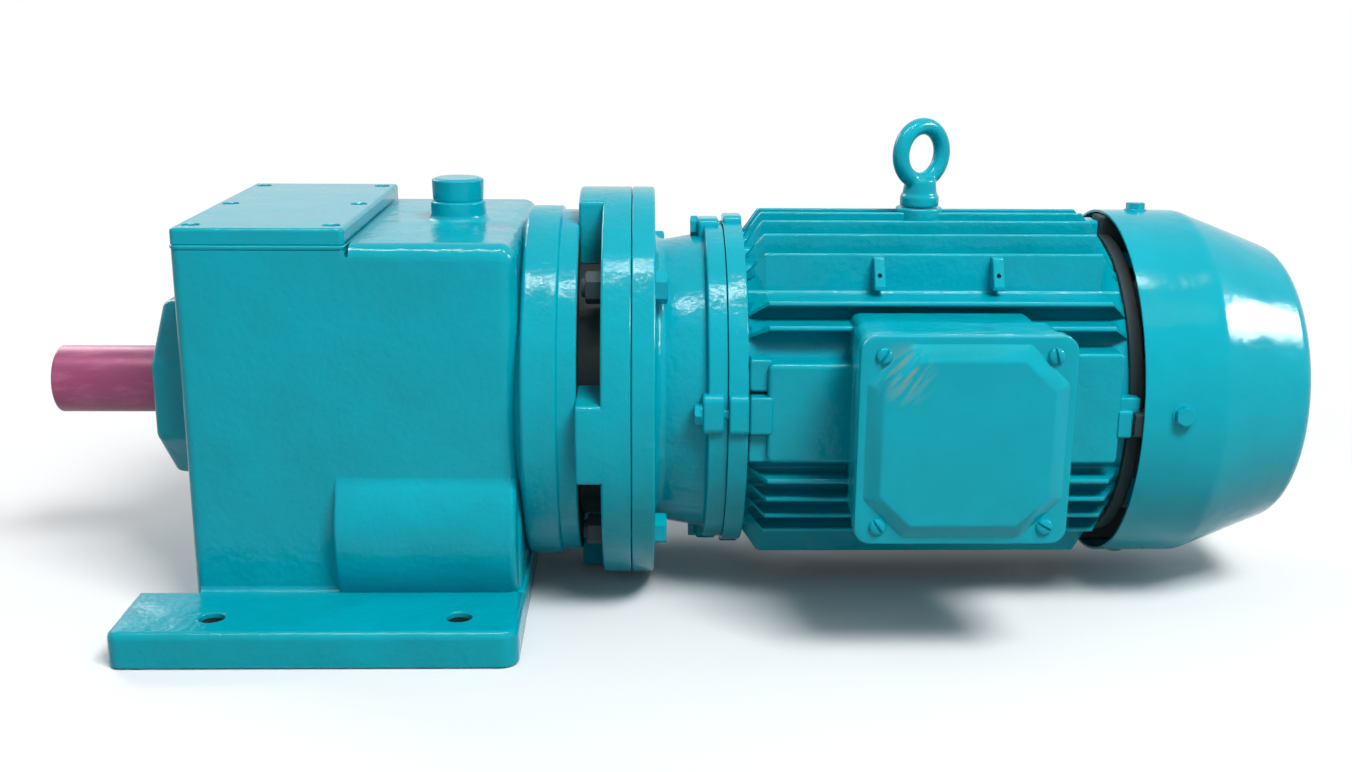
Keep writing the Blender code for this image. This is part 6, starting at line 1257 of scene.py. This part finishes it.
class GEARMOTOR_OT_inner_parts(bpy.types.Operator):
    """Gives the carried-over gears, shafts, bearings, winding and seals their finishes"""

    bl_idname = "gearmotor.inner_parts"
    bl_label = "Inner Parts"
    bl_options = {"REGISTER", "UNDO"}

    def execute(self, context):
        makers = {
            "gasket_paper": pressed_fibre_sheet, "seal_rubber": moulded_nitrile_rubber,
            "bearing_steel": polished_bearing_steel, "winding_copper": varnished_copper_wire,
            "lamination_steel": stacked_electrical_sheet, "board_phenolic": moulded_phenolic,
            "gear_steel": ground_gear_steel, "spider_polyurethane": moulded_polyurethane,
            "fan_plastic": moulded_polypropylene,
        }
        slots = {part["node"]: part["material_slot"] for part in frame["record"]["subparts"]}
        for name, made in frame["nodes"].items():
            if slots[name] in makers:
                made.data.materials.clear()
                made.data.materials.append(material_of(makers[slots[name]]))
        return {"FINISHED"}


# Stage


def background_rays(tree):
    """1 for the camera's rays and for what gloss and glass show of the background, else 0."""
    path = node(tree, "ShaderNodeLightPath")
    either = {0: path["Is Camera Ray"], 1: path["Is Glossy Ray"]}
    either = node(tree, "ShaderNodeMath", either, operation="MAXIMUM")[0]
    return node(tree, "ShaderNodeMath", {0: either, 1: path["Is Transmission Ray"]}, operation="MAXIMUM")[0]


def matt_backdrop_paper(name):
    """Matt paper: pale to the eye with the object's shadow on it, and fading into the white further out.

    To the object it is a darker ground, so that little light comes up from below.
    """
    pale = np.array(bpy.context.scene.gear_motor_colours.floor)
    material, tree, at = new_material(name)
    seen = background_rays(tree)
    fibres = node(tree, "ShaderNodeTexNoise", {"Vector": at, "Scale": 1 / 0.4, "Detail": 3.0})[0]
    paper = node(
        tree, "ShaderNodeMix", {0: fibres, 6: (*pale * 0.985, 1), 7: (*pale, 1)}, data_type="RGBA"
    )[2]
    ground = node(tree, "ShaderNodeMix", {0: seen, 6: (*pale * 0.4, 1), 7: paper}, data_type="RGBA")[2]
    far = node(tree, "ShaderNodeVectorMath", {0: at, 1: (0.25, 0.0, 0.0)}, operation="DISTANCE")["Value"]
    fade = node(tree, "ShaderNodeMapRange", {"Value": far, "From Min": 0.55, "From Max": 1.10})[0]
    share = node(tree, "ShaderNodeMath", {0: fade, 1: seen}, operation="MULTIPLY")[0]
    matt = node(tree, "ShaderNodeBsdfPrincipled", {"Base Color": ground, "Roughness": 0.9})[0]
    white = node(tree, "ShaderNodeEmission")[0]
    mixed = node(tree, "ShaderNodeMixShader", {0: share, 1: matt, 2: white})[0]
    node(tree, "ShaderNodeOutputMaterial", {"Surface": mixed})
    return material


def lamp(name, power, place_at, target, width, height):
    """An even rectangular lamp that looks at its target."""
    light = bpy.data.lights.new(name, "AREA")
    light.shape = "RECTANGLE"
    light.size = width
    light.size_y = height
    light.energy = power
    made = bpy.data.objects.new(name, light)
    made.location = place_at
    made.rotation_euler = (Vector(target) - Vector(place_at)).to_track_quat("-Z", "Y").to_euler()
    bpy.context.scene.collection.objects.link(made)
    return made


class GEARMOTOR_OT_stage(bpy.types.Operator):
    """Sets the camera at the photograph's angle, the pale floor and the soft studio lamps"""

    bl_idname = "gearmotor.stage"
    bl_label = "Stage"
    bl_options = {"REGISTER", "UNDO"}

    def execute(self, context):
        scene = context.scene
        stage = scene.gear_motor_stage
        scene.view_settings.view_transform = "Standard"
        camera = bpy.data.cameras.new("camera")
        camera.sensor_width = 36.0
        camera.lens = stage.lens
        made = bpy.data.objects.new("camera", camera)
        # The place and turn that a fit of the camera to the photograph gave
        yaw, pitch, roll = np.radians((-1.35, 75.05, 0.41))
        turn = Matrix.Rotation(yaw, 4, "Z") @ Matrix.Rotation(pitch, 4, "X") @ Matrix.Rotation(roll, 4, "Z")
        made.matrix_world = Matrix.Translation((0.24879, -1.32885, 0.52825)) @ turn
        scene.collection.objects.link(made)
        scene.camera = made
        x, y = np.meshgrid(np.linspace(-8, 8, 17), np.linspace(-8, 8, 17), indexing="ij")
        just_under = -0.0006
        points = np.stack(np.broadcast_arrays(x, y, just_under), -1)
        floor = mesh_object("floor", [grid(points, wrap_columns=False)])
        floor.data.materials.append(material_of(matt_backdrop_paper))
        middle = (0.25, 0.0, 0.2)
        # The key is a far, wide sky, which shows in no highlight
        lamp("key", stage.key, (1.2, -1.6, 2.5), middle, 1.2, 0.8).visible_glossy = False
        # The window and the strip show in the gloss alone: a patch on the cowl's cone, lines along edges
        lamp("window", stage.window, (2.5, -0.27, 1.27), (0.75, 0.0, 0.25), 0.7, 0.45).visible_diffuse = False
        lamp("strip", stage.strip, (0.30, -0.50, 2.2), middle, 2.0, 0.16).visible_diffuse = False
        lamp("back", stage.back, (-1.5, 1.8, 1.6), middle, 1.4, 1.0)
        world = bpy.data.worlds.new("even_light")
        world.use_nodes = True
        tree = world.node_tree
        tree.nodes.clear()
        seen = background_rays(tree)
        sky = node(tree, "ShaderNodeBackground", {"Color": (0.97, 0.98, 1.0, 1), "Strength": stage.sky})[0]
        white = node(tree, "ShaderNodeBackground", {"Color": (1, 1, 1, 1), "Strength": 1.0})[0]
        mixed = node(tree, "ShaderNodeMixShader", {0: seen, 1: sky, 2: white})[0]
        node(tree, "ShaderNodeOutputWorld", {"Surface": mixed})
        scene.world = world
        return {"FINISHED"}


# Add-on


OPERATORS = (
    GEARMOTOR_OT_stage, GEARMOTOR_OT_housing, GEARMOTOR_OT_cover, GEARMOTOR_OT_plugs,
    GEARMOTOR_OT_output_shaft, GEARMOTOR_OT_adapter, GEARMOTOR_OT_flange_bolts, GEARMOTOR_OT_end_shields,
    GEARMOTOR_OT_motor_frame, GEARMOTOR_OT_fan_cowl, GEARMOTOR_OT_eye_bolt, GEARMOTOR_OT_terminal_box,
    GEARMOTOR_OT_inner_parts,
)


class GEARMOTOR_PT_panel(bpy.types.Panel):
    """Lists the gear motor's settings and its operators"""

    bl_idname = "GEARMOTOR_PT_panel"
    bl_label = "Helical Gear Motor"
    bl_space_type = "VIEW_3D"
    bl_region_type = "UI"
    bl_category = "Gear Motor"

    def draw(self, context):
        layout = self.layout
        for group in ("gear_motor_sizes", "gear_motor_colours", "gear_motor_stage"):
            settings = getattr(context.scene, group)
            column = layout.column(align=True)
            for key in settings.__annotations__:
                column.prop(settings, key)
        for operator in OPERATORS:
            layout.operator(operator.bl_idname)


CLASSES = (GearMotorSizes, GearMotorColours, GearMotorStage, *OPERATORS, GEARMOTOR_PT_panel)


def register():
    """Adds the classes and their settings to Blender."""
    for each in CLASSES:
        bpy.utils.register_class(each)
    bpy.types.Scene.gear_motor_sizes = PointerProperty(type=GearMotorSizes)
    bpy.types.Scene.gear_motor_colours = PointerProperty(type=GearMotorColours)
    bpy.types.Scene.gear_motor_stage = PointerProperty(type=GearMotorStage)


def unregister():
    """Takes away what register added."""
    del bpy.types.Scene.gear_motor_stage
    del bpy.types.Scene.gear_motor_colours
    del bpy.types.Scene.gear_motor_sizes
    for each in reversed(CLASSES):
        bpy.utils.unregister_class(each)


def main():
    """Builds everything through the operators."""
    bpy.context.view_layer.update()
    register()
    for operator in OPERATORS:
        family, name = operator.bl_idname.split(".")
        getattr(getattr(bpy.ops, family), name)()


if __name__ == "__main__":
    main()
